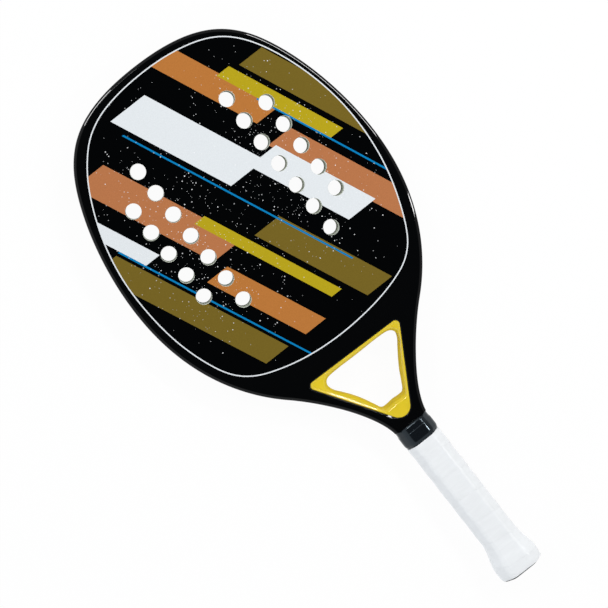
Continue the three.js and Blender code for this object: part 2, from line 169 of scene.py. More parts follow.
def divided(loop: Plan, longest: float) -> Plan:
    """Adds points to a closed outline until its edges are short.

    Args:
        loop: The outline.
        longest: How long an edge may be.

    Returns:
        The same outline with more points.
    """
    found = []
    for i, end in enumerate(loop):
        count = math.ceil(max((end - loop[i - 1]).length / longest, 1.0))
        found += [loop[i - 1].lerp(end, k / count) for k in range(count)]
    return found


def circle(centre: Vector, radius: float, sides: int) -> Plan:
    """Draws a circle as a closed outline."""
    turns = (2 * math.pi * i / sides for i in range(sides))
    return [centre + Vector((math.cos(a), math.sin(a))) * radius for a in turns]


def inside(points: np.ndarray, loop: Plan) -> np.ndarray:
    """Tells which points lie inside a closed outline.

    Args:
        points: The points, one a row.
        loop: The outline.

    Returns:
        One truth value a point.
    """
    ends = np.array([(p.x, p.y) for p in loop])
    starts = np.roll(ends, 1, axis=0)
    x, y = points[:, :1], points[:, 1:]
    spans = (starts[:, 1] > y) != (ends[:, 1] > y)
    rise = np.where(spans, ends[:, 1] - starts[:, 1], 1.0)
    crossing = starts[:, 0] + (y - starts[:, 1]) / rise * (ends[:, 0] - starts[:, 0])
    return (spans & (x < crossing)).sum(axis=1) % 2 == 1


# Meshes

@dataclass
class Rim:
    """One closed edge of a plate, as plan rings from its front to its back.

    All the rings have as many points, and the heights are theirs.
    """

    rings: list[Plan]
    heights: list[float]
    finish: int = 0
    inner_finish: int | None = None
    inner_height: float = 0.0

    def mirrored(self) -> "Rim":
        """Adds the rings again for the back, which is then like the front."""
        backs = [-height for height in reversed(self.heights)]
        return replace(self, rings=self.rings + self.rings[::-1], heights=self.heights + backs)

    def finish_to(self, ring: int) -> int:
        """Gives the finish of a band between two rings: another one deep inside.

        Args:
            ring: The ring that the band ends at.

        Returns:
            The number of the finish.
        """
        middle = (self.heights[ring - 1] + self.heights[ring]) / 2
        deep = self.inner_finish is not None and abs(middle) < self.inner_height
        return self.inner_finish if deep else self.finish

    def at(self, ring: int, segment: int, share: float) -> Vector:
        """Gives a place on a ring.

        Args:
            ring: Which ring.
            segment: Which of its short edges.
            share: How far along that edge.

        Returns:
            The place in space.
        """
        points = self.rings[ring]
        plan = points[segment].lerp(points[(segment + 1) % len(points)], share)
        return Vector((plan.x, plan.y, self.heights[ring]))


def triangles_between(loops: list[Plan], lines: Iterable[Plan]) -> tuple[np.ndarray, Faces]:
    """Fills the flat inside the first loop and outside the others with triangles.

    Args:
        loops: The edges of the flat, the outer one first.
        lines: Further closed outlines that the triangles keep to.

    Returns:
        The plan points, and the triangles as their numbers, counter-clockwise.
    """
    points, edges = [], []
    for loop in [*loops, *lines]:
        base = len(points)
        points.extend(loop)
        edges.extend((base + i, base + (i + 1) % len(loop)) for i in range(len(loop)))
    found, _, faces, origins, _, _ = delaunay_2d_cdt(points, edges, [], 0, TINY)
    places = np.array([(p.x, p.y) for p in found])
    corners = np.array(faces)
    middles = places[corners].mean(axis=1)
    kept = inside(middles, loops[0])
    for loop in loops[1:]:
        kept &= ~inside(middles, loop)
    # Points that were given keep their numbers, so that walls can be hung on them
    renumber = {i: (origin[0] if origin else len(points) + i) for i, origin in enumerate(origins)}
    ordered = np.zeros((len(points) + len(found), 2))
    for i, place in enumerate(places):
        ordered[renumber[i]] = place
    turned = []
    for a, b, c in corners[kept]:
        (ax, ay), (bx, by), (cx, cy) = places[a], places[b], places[c]
        anticlockwise = (bx - ax) * (cy - ay) > (by - ay) * (cx - ax)
        turned.append([renumber[i] for i in ((a, b, c) if anticlockwise else (a, c, b))])
    return ordered, turned


@dataclass
class Plate:
    """A plate with shaped edges, drawn flat and closed all round.

    The first rim is the outer edge and the others are openings through it. The front
    may be painted: its triangles keep to the lines, and paint gives the finish at each
    place.
    """

    rims: list[Rim]
    lines: list[Plan] = field(default_factory=list)
    paint: Callable[[np.ndarray], np.ndarray] = lambda places: np.zeros(len(places), dtype=int)

    def build(self) -> tuple[list[Vector], Faces, list[int]]:
        """Makes the plate.

        Returns:
            Its points, its faces and the finish of each face.
        """
        plan, front = triangles_between([rim.rings[0] for rim in self.rims], self.lines)
        height = self.rims[0].heights[0]
        used = sorted({i for face in front for i in face})
        number = {old: new for new, old in enumerate(used)}
        points = [Vector((plan[i][0], plan[i][1], height)) for i in used]
        faces = [[number[i] for i in face] for face in front]
        finishes = self.paint(np.array([plan[face].mean(axis=0) for face in front])).tolist()
        last_loops = []
        for chain in self.chains(faces):
            rim, places = self.places_on_rim([points[i] for i in chain])
            above = chain
            for ring in range(1, len(rim.rings)):
                below = range(len(points), len(points) + len(chain))
                points.extend(rim.at(ring, segment, share) for segment, share in places)
                for i in range(len(chain)):
                    j = (i + 1) % len(chain)
                    faces.append([above[j], above[i], below[i], below[j]])
                    finishes.append(rim.finish_to(ring))
                above = below
            last_loops.append(list(above))
        self.close_back(points, faces, finishes, last_loops)
        return points, faces, finishes

    @staticmethod
    def chains(faces: Faces) -> list[list[int]]:
        """Finds the loops along the open edges of some faces.

        Args:
            faces: The faces.

        Returns:
            The numbers of the points along each loop.
        """
        edges = {(a, b) for face in faces for a, b in zip(face, face[1:] + face[:1])}
        after = {a: b for a, b in edges if (b, a) not in edges}
        loops = []
        while after:
            start, step = min(after.items())
            loop = [start]
            del after[start]
            while step != start:
                loop.append(step)
                step = after.pop(step)
            loops.append(loop)
        return loops

    def places_on_rim(self, loop: list[Vector]) -> tuple[Rim, list[tuple[int, float]]]:
        """Finds the rim that a loop of points runs on, and where each point lies on it.

        Args:
            loop: The points.

        Returns:
            The rim, and a segment number and a share along it for each point.
        """
        points = np.array([(p.x, p.y) for p in loop])
        best = None
        for rim in self.rims:
            starts = np.array([(p.x, p.y) for p in rim.rings[0]])
            spans = np.roll(starts, -1, axis=0) - starts
            offsets = points[:, None] - starts
            shares = np.clip((offsets * spans).sum(axis=2) / (spans**2).sum(axis=1), 0, 1)
            gaps = np.linalg.norm(offsets - shares[..., None] * spans, axis=2)
            nearest = gaps.argmin(axis=1)
            worst = gaps.min(axis=1).max()
            if best is None or worst < best[0]:
                best = (worst, rim, [(int(s), float(shares[i, s])) for i, s in enumerate(nearest)])
        return best[1], best[2]

    @staticmethod
    def close_back(points: list[Vector], faces: Faces, finishes: list[int], loops: list[list[int]]) -> None:
        """Fills the back between the last rings.

        Args:
            points: The plate's points.
            faces: Its faces, to which the back's are added.
            finishes: The finish of each face, to which theirs are added.
            loops: The loops of points round the back.
        """
        plans = [[points[i].to_2d() for i in loop] for loop in loops]
        wide = [max(p.x for p in plan) - min(p.x for p in plan) for plan in plans]
        order = sorted(range(len(plans)), key=lambda i: -wide[i])
        plan, back = triangles_between([plans[i] for i in order], [])
        number = [i for loop in (loops[k] for k in order) for i in loop]
        faces += [[number[i] for i in reversed(face)] for face in back]
        finishes += [0] * len(back)


def renumbered(faces: Faces, first: int) -> Faces:
    """Numbers the points of faces from another first number."""
    return [[i + first for i in face] for face in faces]


def skin(rings: list[list[Vector]], looped: bool = False) -> tuple[list[Vector], Faces]:
    """Stretches a closed skin over rings of points.

    Args:
        rings: The rings, each with as many points.
        looped: Whether the last ring joins the first, in place of two end faces.

    Returns:
        The points and the faces.
    """
    count = len(rings[0])
    points = [p for ring in rings for p in ring]
    faces = []
    for i in range(len(rings) if looped else len(rings) - 1):
        here, above = i * count, (i + 1) % len(rings) * count
        for j in range(count):
            k = (j + 1) % count
            faces.append([here + j, above + j, above + k, here + k])
    if not looped:
        faces.append(list(range(count)))
        faces.append([len(points) - 1 - j for j in range(count)])
    return points, faces


def in_scene(name: str, data: bpy.types.ID) -> bpy.types.Object:
    """Puts an object in the scene.

    Args:
        name: Its name.
        data: Its mesh, lamp or camera.

    Returns:
        The object.
    """
    obj = bpy.data.objects.new(name, data)
    bpy.context.scene.collection.objects.link(obj)
    return obj


def piece(name: str, points: Iterable[Vector], faces: Faces, finishes: Sequence["Finish"],
          which: Sequence[int] = (), crease: float = 35) -> bpy.types.Object:
    """Makes a smooth shaded object with its finishes, riding on the racket's body.

    Args:
        name: The piece's name.
        points: Its points in millimetres.
        faces: Its faces.
        finishes: Its finishes.
        which: The finish of each face, or nothing where there is only one.
        crease: Edges bent by more degrees than this stay sharp.

    Returns:
        The object.
    """
    mesh = bpy.data.meshes.new(name)
    mesh.from_pydata([p * MM for p in points], [], faces)
    for finish in finishes:
        mesh.materials.append(finish.material())
    if which:
        mesh.polygons.foreach_set("material_index", which)
    # Where a strip runs out under its neighbour its faces shrink to nothing
    clean = bmesh.new()
    clean.from_mesh(mesh)
    bmesh.ops.dissolve_degenerate(clean, dist=NO_LENGTH, edges=clean.edges)
    clean.to_mesh(mesh)
    clean.free()
    mesh.polygons.foreach_set("use_smooth", [True] * len(mesh.polygons))
    mesh.set_sharp_from_angle(angle=math.radians(crease))
    mesh.update()
    obj = in_scene(name, mesh)
    weighted = obj.modifiers.new("flats stay flat", "WEIGHTED_NORMAL")
    weighted.keep_sharp = True
    weighted.weight = FLATS_WEIGHT
    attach(obj, "root")
    log.info("%s: %d faces", name, len(faces))
    return obj


# Finishes

def linear(colour: str) -> tuple[float, float, float, float]:
    """Turns an sRGB colour into the linear one that the shaders take.

    Args:
        colour: The colour as a hex value.

    Returns:
        Its linear red, green and blue, and full alpha.
    """
    parts = [int(colour[i:i + 2], 16) / 255 for i in (1, 3, 5)]
    red, green, blue = (c / 12.92 if c <= 0.04045 else ((c + 0.055) / 1.055) ** 2.4 for c in parts)
    return red, green, blue, 1.0


def empty_tree(owner: bpy.types.Material | bpy.types.World) -> Tree:
    """Gives a material or a world an empty node tree.

    Args:
        owner: The material or the world.

    Returns:
        Its node tree.
    """
    owner.use_nodes = True
    owner.node_tree.nodes.clear()
    return owner.node_tree


def add_node(tree: Tree, kind: str, inputs: dict | None = None, **settings: object) -> Node:
    """Adds a node with its settings and links.

    Args:
        tree: The node tree.
        kind: The node's type after the word ShaderNode, such as TexNoise.
        inputs: For each input, by name or number, a value, the output that feeds it, or a
            node whose first output does.
        settings: The node's own properties.

    Returns:
        The node.
    """
    node = tree.nodes.new("ShaderNode" + kind)
    for name, value in settings.items():
        setattr(node, name, value)
    for name, value in (inputs or {}).items():
        if isinstance(value, Node | bpy.types.NodeSocket):
            source = value.outputs[0] if isinstance(value, Node) else value
            tree.links.new(source, node.inputs[name])
        else:
            node.inputs[name].default_value = value
    return node


# The materials that are built already
_made: dict["Finish", bpy.types.Material] = {}


@dataclass(frozen=True)
class Finish:
    """What a surface is made of and how it was made."""

    name: str
    colour: str

    def material(self) -> bpy.types.Material:
        """Gives the material, built the first time that it is asked for.

        Returns:
            The material.
        """
        if self not in _made:
            material = bpy.data.materials.new(self.name)
            tree = empty_tree(material)
            place = add_node(tree, "TexCoord").outputs["Object"]
            millimetres = add_node(tree, "VectorMath", {0: place, 1: (1 / MM,) * 3}, operation="MULTIPLY")
            add_node(tree, "OutputMaterial", {"Surface": self.surface(tree, millimetres)})
            material.diffuse_color = linear(self.colour)
            _made[self] = material
        return _made[self]

    def surface(self, tree: Tree, place: Node) -> Node:
        """Builds the shader.

        Args:
            tree: The material's nodes.
            place: The place on the racket, in millimetres.

        Returns:
            The shader node.
        """
        raise NotImplementedError

    def shaded(self, tree: Tree, pattern: Node, values: Point, shades: Point) -> Node:
        """Makes the colour a little darker and lighter with a pattern.

        Args:
            tree: The material's nodes.
            pattern: The pattern.
            values: The lowest and the highest of the pattern's values that count.
            shades: How bright the colour is at the two.

        Returns:
            The colour.
        """
        shade = add_node(tree, "MapRange", {"Value": pattern, "From Min": values[0], "From Max": values[1],
                                            "To Min": shades[0], "To Max": shades[1]})
        return add_node(tree, "VectorMath", {0: linear(self.colour)[:3], "Scale": shade}, operation="SCALE")


@dataclass(frozen=True)
class Lacquer(Finish):
    """Sprayed clear lacquer over black composite: a deep black with sharp reflections
    that waver a little, as the lacquer's orange peel does."""

    gloss: float = 0.46
    peel_mm: float = 5.0
    peel_depth_mm: float = 0.004

    def surface(self, tree: Tree, place: Node) -> Node:
        """Builds the lacquer.

        Args:
            tree: The material's nodes.
            place: The place on the racket, in millimetres.

        Returns:
            The shader node.
        """
        peel = add_node(tree, "TexNoise", {"Vector": place, "Scale": 1 / self.peel_mm, "Detail": 1.0})
        waves = add_node(tree, "Bump", {"Height": peel, "Strength": 1.0, "Distance": self.peel_depth_mm * MM})
        # The composite has no gloss of its own under the lacquer, so only the coat reflects
        return add_node(tree, "BsdfPrincipled", {
            "Base Color": linear(self.colour), "Roughness": 0.5, "Specular IOR Level": 0.0,
            "Coat Weight": self.gloss, "Coat Roughness": 0.03, "Coat IOR": 1.5, "Coat Normal": waves})


@dataclass(frozen=True)
class PrintedInk(Finish):
    """Ink printed on the laminate under clear lacquer: an even colour with the faint
    grain of the screen, and fine white flecks that gather round the holes in patches."""

    gloss: float = 0.5
    grain_mm: float = 0.9
    grain: float = 0.05
    fleck_colour: str = "#F4F6F7"
    fleck_cell_mm: float = 1.9
    # The radius of the smallest and the largest fleck, and the power that keeps large ones rare
    fleck_mm: Point = (0.16, 0.5)
    rarity: float = 3.0
    # How many cells have a fleck beside the columns of holes, and what part of that is left far off
    flecked_share: float = 0.2
    far_part: float = 0.04
    # The middle of a column of holes, how wide and high the flecks spread round it, and between
    # which shares of that spread they thin out
    columns_mm: Point = (44.0, 372.0)
    spread_mm: Point = (62.0, 104.0)
    thinning: Point = (0.35, 1.1)
    patch_mm: float = 50 / 3
    patch_values: Point = (0.36, 0.64)
    patch_shares: Point = (0.25, 1.6)
    # Where a fleck's soft edge starts and ends, in radii, and how strong the faintest fleck is
    soft_edge: Point = (1.2, 0.7)
    faintest: float = 0.35

    def surface(self, tree: Tree, place: Node) -> Node:
        """Builds the print.

        Args:
            tree: The material's nodes.
            place: The place on the racket, in millimetres.

        Returns:
            The shader node.
        """
        grain = add_node(tree, "TexNoise", {"Vector": place, "Scale": 1 / self.grain_mm, "Detail": 2.0})
        ink = self.shaded(tree, grain, NOISE_VALUES, (1 - self.grain, 1 + self.grain))
        # The colour sockets of a mix are its numbers 6, 7 and 2
        colour = add_node(tree, "Mix", {0: self.flecks(tree, place), 6: ink, 7: linear(self.fleck_colour)},
                          data_type="RGBA")
        return add_node(tree, "BsdfPrincipled", {
            "Base Color": colour.outputs[2], "Roughness": 0.5, "Specular IOR Level": 0.0,
            "Coat Weight": self.gloss, "Coat Roughness": 0.04, "Coat IOR": 1.5})

    def flecks(self, tree: Tree, place: Node) -> Node:
        """Scatters the flecks, one to a cell of a pattern, in some of its cells.

        Args:
            tree: The material's nodes.
            place: The place on the racket, in millimetres.

        Returns:
            How much of a fleck there is, from 0 to 1.
        """
        both_sides = add_node(tree, "VectorMath", {0: place}, operation="ABSOLUTE")
        (x, y), (wide, high) = self.columns_mm, self.spread_mm
        from_columns = add_node(tree, "Mapping", {
            0: both_sides, "Location": (-x / wide, -y / high, 0), "Scale": (1 / wide, 1 / high, 0)})
        away = add_node(tree, "VectorMath", {0: from_columns}, operation="LENGTH")
        near = add_node(tree, "MapRange", {
            "Value": away.outputs[1], "From Min": self.thinning[0], "From Max": self.thinning[1],
            "To Min": self.flecked_share, "To Max": self.flecked_share * self.far_part})
        clouds = add_node(tree, "TexNoise", {"Vector": place, "Scale": 1 / self.patch_mm, "Detail": 3.0})
        patches = add_node(tree, "MapRange", {
            "Value": clouds, "From Min": self.patch_values[0], "From Max": self.patch_values[1],
            "To Min": self.patch_shares[0], "To Max": self.patch_shares[1]})
        share = add_node(tree, "Math", {0: near, 1: patches}, operation="MULTIPLY")
        cells = add_node(tree, "TexVoronoi", {"Vector": place, "Scale": 1 / self.fleck_cell_mm},
                         voronoi_dimensions="2D")
        chances = add_node(tree, "SeparateColor", {0: cells.outputs["Color"]}).outputs
        fleck = add_node(tree, "Math", {0: chances[0], 1: share}, operation="LESS_THAN")
        few_large = add_node(tree, "Math", {0: chances[1], 1: self.rarity}, operation="POWER")
        smallest, largest = (radius / self.fleck_cell_mm for radius in self.fleck_mm)
        radius = add_node(tree, "MapRange", {"Value": few_large, "To Min": smallest, "To Max": largest})
        out = add_node(tree, "Math", {0: cells, 1: radius}, operation="DIVIDE")
        dot = add_node(tree, "MapRange", {"Value": out, "From Min": self.soft_edge[0],
                                          "From Max": self.soft_edge[1]})
        strength = add_node(tree, "MapRange", {"Value": chances[2], "To Min": self.faintest})
        shown = add_node(tree, "Math", {0: dot, 1: fleck}, operation="MULTIPLY")
        return add_node(tree, "Math", {0: shown, 1: strength}, operation="MULTIPLY")


@dataclass(frozen=True)
class CutFoam(Finish):
    """Closed-cell foam as a drill or a mould leaves it, or the cut edge of a laminate:
    matt, with fine open cells, whose pits are painted darker as shade."""

    cell_mm: float = 0.5
    cell_depth_mm: float = 0.12
    cell_values: Point = (0.0, 0.6)
    # How bright the colour is from a cell's pit to its rim: the pits are painted darker as shade
    painted_pit_shade: Point = (0.86, 1.0)

    def surface(self, tree: Tree, place: Node) -> Node:
        """Builds the foam.

        Args:
            tree: The material's nodes.
            place: The place on the racket, in millimetres.

        Returns:
            The shader node.
        """
        cells = add_node(tree, "TexVoronoi", {"Vector": place, "Scale": 1 / self.cell_mm})
        pits = add_node(tree, "Bump", {"Height": cells, "Strength": 0.6, "Distance": self.cell_depth_mm * MM})
        # The pits' colour is darkened as painted shade
        return add_node(tree, "BsdfPrincipled", {
            "Base Color": self.shaded(tree, cells, self.cell_values, self.painted_pit_shade),
            "Roughness": 0.85, "IOR": 1.45, "Normal": pits})


@dataclass(frozen=True)
class MouldedPlastic(Finish):
    """Moulded plastic or rubber: a steady colour with the fine grain of its mould."""

    roughness: float = 0.3
    grain_mm: float = 0.6
    grain_depth_mm: float = 0.01
    mottle_mm: float = 12.5
    mottle: float = 0.03
    specular: float = 0.5
    # A tint of the reflections; any colour but white paints that colour into them
    painted_reflection_tint: str = "#FFFFFF"
    coat: float = 0.0
    glow: float = 0.0
    glow_reach: tuple[float, float, float] = (1.0, 0.7, 0.2)

    def surface(self, tree: Tree, place: Node) -> Node:
        """Builds the plastic.

        Args:
            tree: The material's nodes.
            place: The place on the racket, in millimetres.

        Returns:
            The shader node.
        """
        grain = add_node(tree, "TexNoise", {"Vector": place, "Scale": 1 / self.grain_mm, "Detail": 3.0})
        clouds = add_node(tree, "TexNoise", {"Vector": place, "Scale": 1 / self.mottle_mm, "Detail": 2.0})
        bumps = add_node(tree, "Bump", {"Height": grain, "Strength": 0.5,
                                        "Distance": self.grain_depth_mm * MM})
        return add_node(tree, "BsdfPrincipled", {
            "Base Color": self.shaded(tree, clouds, NOISE_VALUES, (1 - self.mottle, 1 + self.mottle)),
            "Roughness": self.roughness, "IOR": 1.5, "Specular IOR Level": self.specular,
            "Specular Tint": linear(self.painted_reflection_tint), "Coat Weight": self.coat, "Coat Roughness": 0.035,
            "Subsurface Weight": self.glow, "Subsurface Radius": self.glow_reach, "Subsurface Scale": MM,
            "Normal": bumps})


@dataclass(frozen=True)
class GripTape(Finish):
    """Polyurethane grip tape, cast on felt: satin and slightly tacky, with a leathery
    grain and soft creases where it was pulled tight. Its colour is painted a little
    darker in the creases' dips and lighter on their crests, as shade and light."""

    roughness: float = 0.5
    tack: float = 0.18
    grain_mm: float = 0.7
    grain_depth_mm: float = 0.03
    crease_mm: float = 6.0
    crease_depth_mm: float = 0.2
    # The creases run along the strip: how it slopes, and how much closer they lie across it
    crease_slope: float = -0.22
    crease_squeeze: tuple[float, float, float] = (0.35, 1.6, 0.35)
    # How bright the colour is from the creases' dips to their crests: painted shade and painted light
    painted_crease_shade: Point = (0.965, 1.01)

    def surface(self, tree: Tree, place: Node) -> Node:
        """Builds the tape.

        Args:
            tree: The material's nodes.
            place: The place on the racket, in millimetres.

        Returns:
            The shader node.
        """
        grain = add_node(tree, "TexVoronoi", {"Vector": place, "Scale": 1 / self.grain_mm},
                         feature="SMOOTH_F1")
        squeezed = add_node(tree, "Mapping", {0: place, "Rotation": (0, 0, self.crease_slope),
                                              "Scale": self.crease_squeeze})
        creases = add_node(tree, "TexNoise", {"Vector": squeezed, "Scale": 1 / self.crease_mm,
                                              "Detail": 4.0, "Distortion": 0.6})
        pulled = add_node(tree, "Bump", {"Height": creases, "Strength": 0.6,
                                         "Distance": self.crease_depth_mm * MM})
        bumps = add_node(tree, "Bump", {"Height": grain, "Strength": 0.4,
                                        "Distance": self.grain_depth_mm * MM, "Normal": pulled})
        # The crease pattern paints shade into the dips and light onto the crests
        return add_node(tree, "BsdfPrincipled", {
            "Base Color": self.shaded(tree, creases, NOISE_VALUES, self.painted_crease_shade),
            "Roughness": self.roughness, "IOR": 1.48, "Coat Weight": self.tack, "Coat Roughness": 0.14,
            "Coat Normal": pulled, "Sheen Weight": 0.08, "Sheen Roughness": 0.5, "Normal": bumps})


class Finishes(Enum):
    """The finishes of the racket."""

    LACQUER = Lacquer("black lacquer", "#060708")
    BLACK_INK = PrintedInk("black ink", "#040506")
    WHITE_INK = PrintedInk("white ink", "#E1E6E9", grain=0.03)
    ORANGE_INK = PrintedInk("orange ink", "#B8763A")
    COPPER_INK = PrintedInk("copper ink", "#B6754B")
    OLIVE_INK = PrintedInk("olive ink", "#746225")
    YELLOW_INK = PrintedInk("yellow ink", "#B5A11E")
    BLUE_INK = PrintedInk("blue ink", "#0E7DB8")
    CUT_LAMINATE = CutFoam("cut edge of the laminate", "#E1E5DB", cell_mm=0.3, cell_depth_mm=0.03)
    EVA_FOAM = CutFoam("EVA foam", "#DCE1D6")
    LINER_RESIN = MouldedPlastic("yellow moulded resin", "#E2C82B", roughness=0.4, specular=0.15, coat=1.0,
                                 glow=0.1)
    # The deep wall's resin: matt, and a little darker than the lip's as painted shade
    LINER_SHADED_WALL = MouldedPlastic("matt yellow resin with painted shade", "#E0C728", roughness=0.6,
                                specular=0.04)
    # The blue tint paints a bluish reflection into the rubber's gloss
    COLLAR_RUBBER = MouldedPlastic("black moulded rubber", "#12161A", roughness=0.1, grain_mm=1.2,
                                   specular=0.4, painted_reflection_tint="#DDF2FF")
    WHITE_TAPE = GripTape("white polyurethane tape", "#EEF1F3")
    CUSHION_TAPE = GripTape("black cushion tape", "#2A2C2E", roughness=0.75, tack=0.0)
    CAP_NYLON = MouldedPlastic("black moulded nylon", "#131415", roughness=0.42, grain_mm=0.4)
    PALLET_FOAM = CutFoam("rigid moulded foam", "#8C8F8A", cell_mm=0.8, cell_depth_mm=0.08)


# Pieces

@dataclass(frozen=True)
class HeadShape:
    """The outline of the head, arms and neck, and the lines drawn inside it.

    Each reach is how far the handles of the curves stand off before and after a place.
    """

    crown: float = 499.2
    crown_reach: float = 50.0
    lean: float = 0.6
    lean_fade: float = 40.0
    half_width: float = 116.3
    widest: float = 347.7
    side_reach: Point = (51.6, 56.6)
    corner: Point = (84.0, 467.4)
    corner_turn: float = math.radians(37.2)
    corner_reach: Point = (22.3, 25.3)
    shoulder: Point = (65.5, 224.0)
    shoulder_turn: float = math.radians(47.0)
    shoulder_reach: Point = (39.0, 28.4)
    neck_half_width: float = 15.0
    neck_aim: float = 145.7
    neck_reach: float = 21.4
    neck_top: float = 150.3
    half_thickness: float = 11.0
    curve_steps: int = 36
    shortest_step: float = 0.2
    # The rounding of the outer edge: how far in and how far down each ring lies
    edge: tuple[Point, ...] = (
        (3.0, 0.0), (2.7, 0.02), (2.45, 0.06), (2.2, 0.12), (1.95, 0.19), (1.7, 0.265), (1.45, 0.345),
        (1.2, 0.43), (1.0, 0.51), (0.8, 0.62), (0.6, 0.78), (0.42, 1.0), (0.26, 1.35), (0.13, 1.95),
        (0.04, 3.0), (0.0, 4.4))
    # The middle of the white line, from the crown down the left side
    pinline: tuple[Point, ...] = (
        (0.2, 491.8), (-25.0, 489.8), (-44.4, 485.0), (-59.0, 477.2), (-70.3, 466.7), (-81.9, 451.1),
        (-93.6, 427.9), (-102.4, 401.7), (-107.3, 374.0), (-107.8, 344.9), (-104.6, 315.8), (-97.9, 290.8),
        (-89.9, 272.6), (-82.0, 262.3), (-70.8, 254.1), (-51.9, 246.8), (-28.1, 241.6), (1.2, 239.6),
        (33.3, 242.0), (56.1, 246.9), (71.9, 253.2), (82.2, 261.5), (89.6, 272.4), (99.8, 296.8),
        (107.1, 323.8), (110.3, 351.9), (109.5, 380.5), (104.5, 408.1), (95.9, 434.5), (84.9, 456.7),
        (74.4, 470.3), (63.7, 478.9), (48.5, 485.7), (25.9, 490.5))
    pinline_steps: int = 10
    pinline_width: float = 0.96
    border_margin: float = 0.2

    def outline(self) -> list[tuple[Vector, Vector]]:
        """Draws the outline.

        Returns:
            Its points, counter-clockwise from the crown, with the way out at each.
        """
        corner_way = Vector((math.sin(self.corner_turn), -math.cos(self.corner_turn)))
        shoulder_way = Vector((-math.sin(self.shoulder_turn), -math.cos(self.shoulder_turn)))
        # Each place that the curves join, with the way on from it and the reach of the handles
        joints = [
            (Vector((0, self.crown)), Vector((1, 0)), (0.0, self.crown_reach)),
            (Vector(self.corner), corner_way, self.corner_reach),
            (Vector((self.half_width, self.widest)), Vector((0, -1)), self.side_reach),
            (Vector(self.shoulder), shoulder_way, self.shoulder_reach),
            (Vector((self.neck_half_width, self.neck_aim)), Vector((0, -1)), (self.neck_reach, 0.0)),
        ]
        half = []
        for (a, leaving, (_, after)), (d, arriving, (before, _)) in zip(joints, joints[1:]):
            b, c = a + leaving * after, d - arriving * before
            for i in range(self.curve_steps):
                t = i / self.curve_steps
                point = a * (1 - t)**3 + b * 3 * t * (1 - t)**2 + c * 3 * t**2 * (1 - t) + d * t**3
                way = (b - a) * (1 - t)**2 + (c - b) * 2 * t * (1 - t) + (d - c) * t**2
                if point.y > self.neck_top + self.shortest_step:
                    half.append((point, Vector((-way.y, way.x)).normalized()))
        last, neck = half[-1][0], joints[-1][0]
        share = (last.y - self.neck_top) / (last.y - neck.y)
        half.append((Vector((last.x + (neck.x - last.x) * share, self.neck_top)), Vector((1, 0))))
        left = [(Vector((-p.x, p.y)), Vector((-n.x, n.y))) for p, n in half]
        return [(self.leaned(p), n) for p, n in left + half[:0:-1]]

    def leaned(self, place: Vector) -> Vector:
        """Moves a place as the head leans: a little to the right of the handle, down to the neck."""
        return place + Vector((self.lean * min((place.y - self.neck_top) / self.lean_fade, 1.0), 0))

    def from_behind(self, place: Vector) -> Vector:
        """Mirrors a place in plan about the middle line of the head."""
        return Vector((2 * self.lean - place.x, place.y))

    def loop_from_behind(self, loop: Plan) -> Plan:
        """Mirrors an outline so that it still runs counter-clockwise from its first point."""
        return [self.from_behind(place) for place in [loop[0], *loop[:0:-1]]]

    def ring(self, depth: float) -> Plan:
        """Draws the outline moved inwards by a depth."""
        return [point - way * depth for point, way in self.outline()]

    def pinline_loop(self, out: float) -> Plan:
        """Draws the middle of the white line, moved out by a distance."""
        return beside(smooth_loop(self.pinline, self.pinline_steps), out)

    def border(self, out: float = 0.0) -> Plan:
        """Draws the edge of the front laminate, moved out by a distance."""
        return self.pinline_loop(self.pinline_width / 2 + self.border_margin + out)


@dataclass(frozen=True)
class Throat:
    """The opening at the throat: the edge of the frame and of its liner."""

    corners: tuple[Point, ...] = ((-48.1, 224.0), (0.8, 148.5), (43.5, 222.2))
    radii: tuple[float, ...] = (3.6, 9.4, 3.6)
    steps: int = 12
    longest_step: float = 0.9
    bead: Point = (-10.2, 164.6)
    bead_half_length: float = 2.2
    bead_fade: float = 1.8
    opening_steps: int = 6
    # The liner's narrowest opening, from its foot up the right side
    opening: tuple[Point, ...] = (
        (0.3, 171.3), (6.3, 170.9), (10.6, 171.5), (14.3, 177.2), (18.5, 185.4), (23.4, 193.4),
        (28.9, 201.1), (32.9, 206.4), (34.5, 211.9), (32.8, 216.1), (29.6, 218.0), (22.0, 218.8),
        (-1.0, 218.7), (-24.0, 218.8), (-29.8, 218.0), (-32.1, 216.3), (-33.4, 212.6), (-31.8, 206.5),
        (-27.7, 201.0), (-22.2, 193.6), (-17.5, 185.8), (-13.4, 177.4), (-10.1, 171.4), (-5.8, 170.8))

    def edge(self, out: float) -> Plan:
        """Draws the edge of the frame at the throat, moved out by a distance."""
        return beside(divided(rounded(self.corners, self.radii, self.steps), self.longest_step), out)

    def eased_edge(self, out: float, bead_out: float) -> Plan:
        """Draws a ring of the eased edge, further out where the lacquer ran into a bead.

        Args:
            out: How far out it lies.
            bead_out: How far out it lies at the bead.

        Returns:
            The ring.
        """
        ring = []
        for point, away in zip(self.edge(0.0), self.edge(1.0)):
            past_end = max((point - Vector(self.bead)).length - self.bead_half_length, 0.0)
            share = gentle(held(1 - past_end / self.bead_fade))
            ring.append(point.lerp(away, out + (bead_out - out) * share))
        return ring

    def waist(self) -> Plan:
        """Draws the opening through the liner at its narrowest."""
        return smooth_loop(self.opening, self.opening_steps)


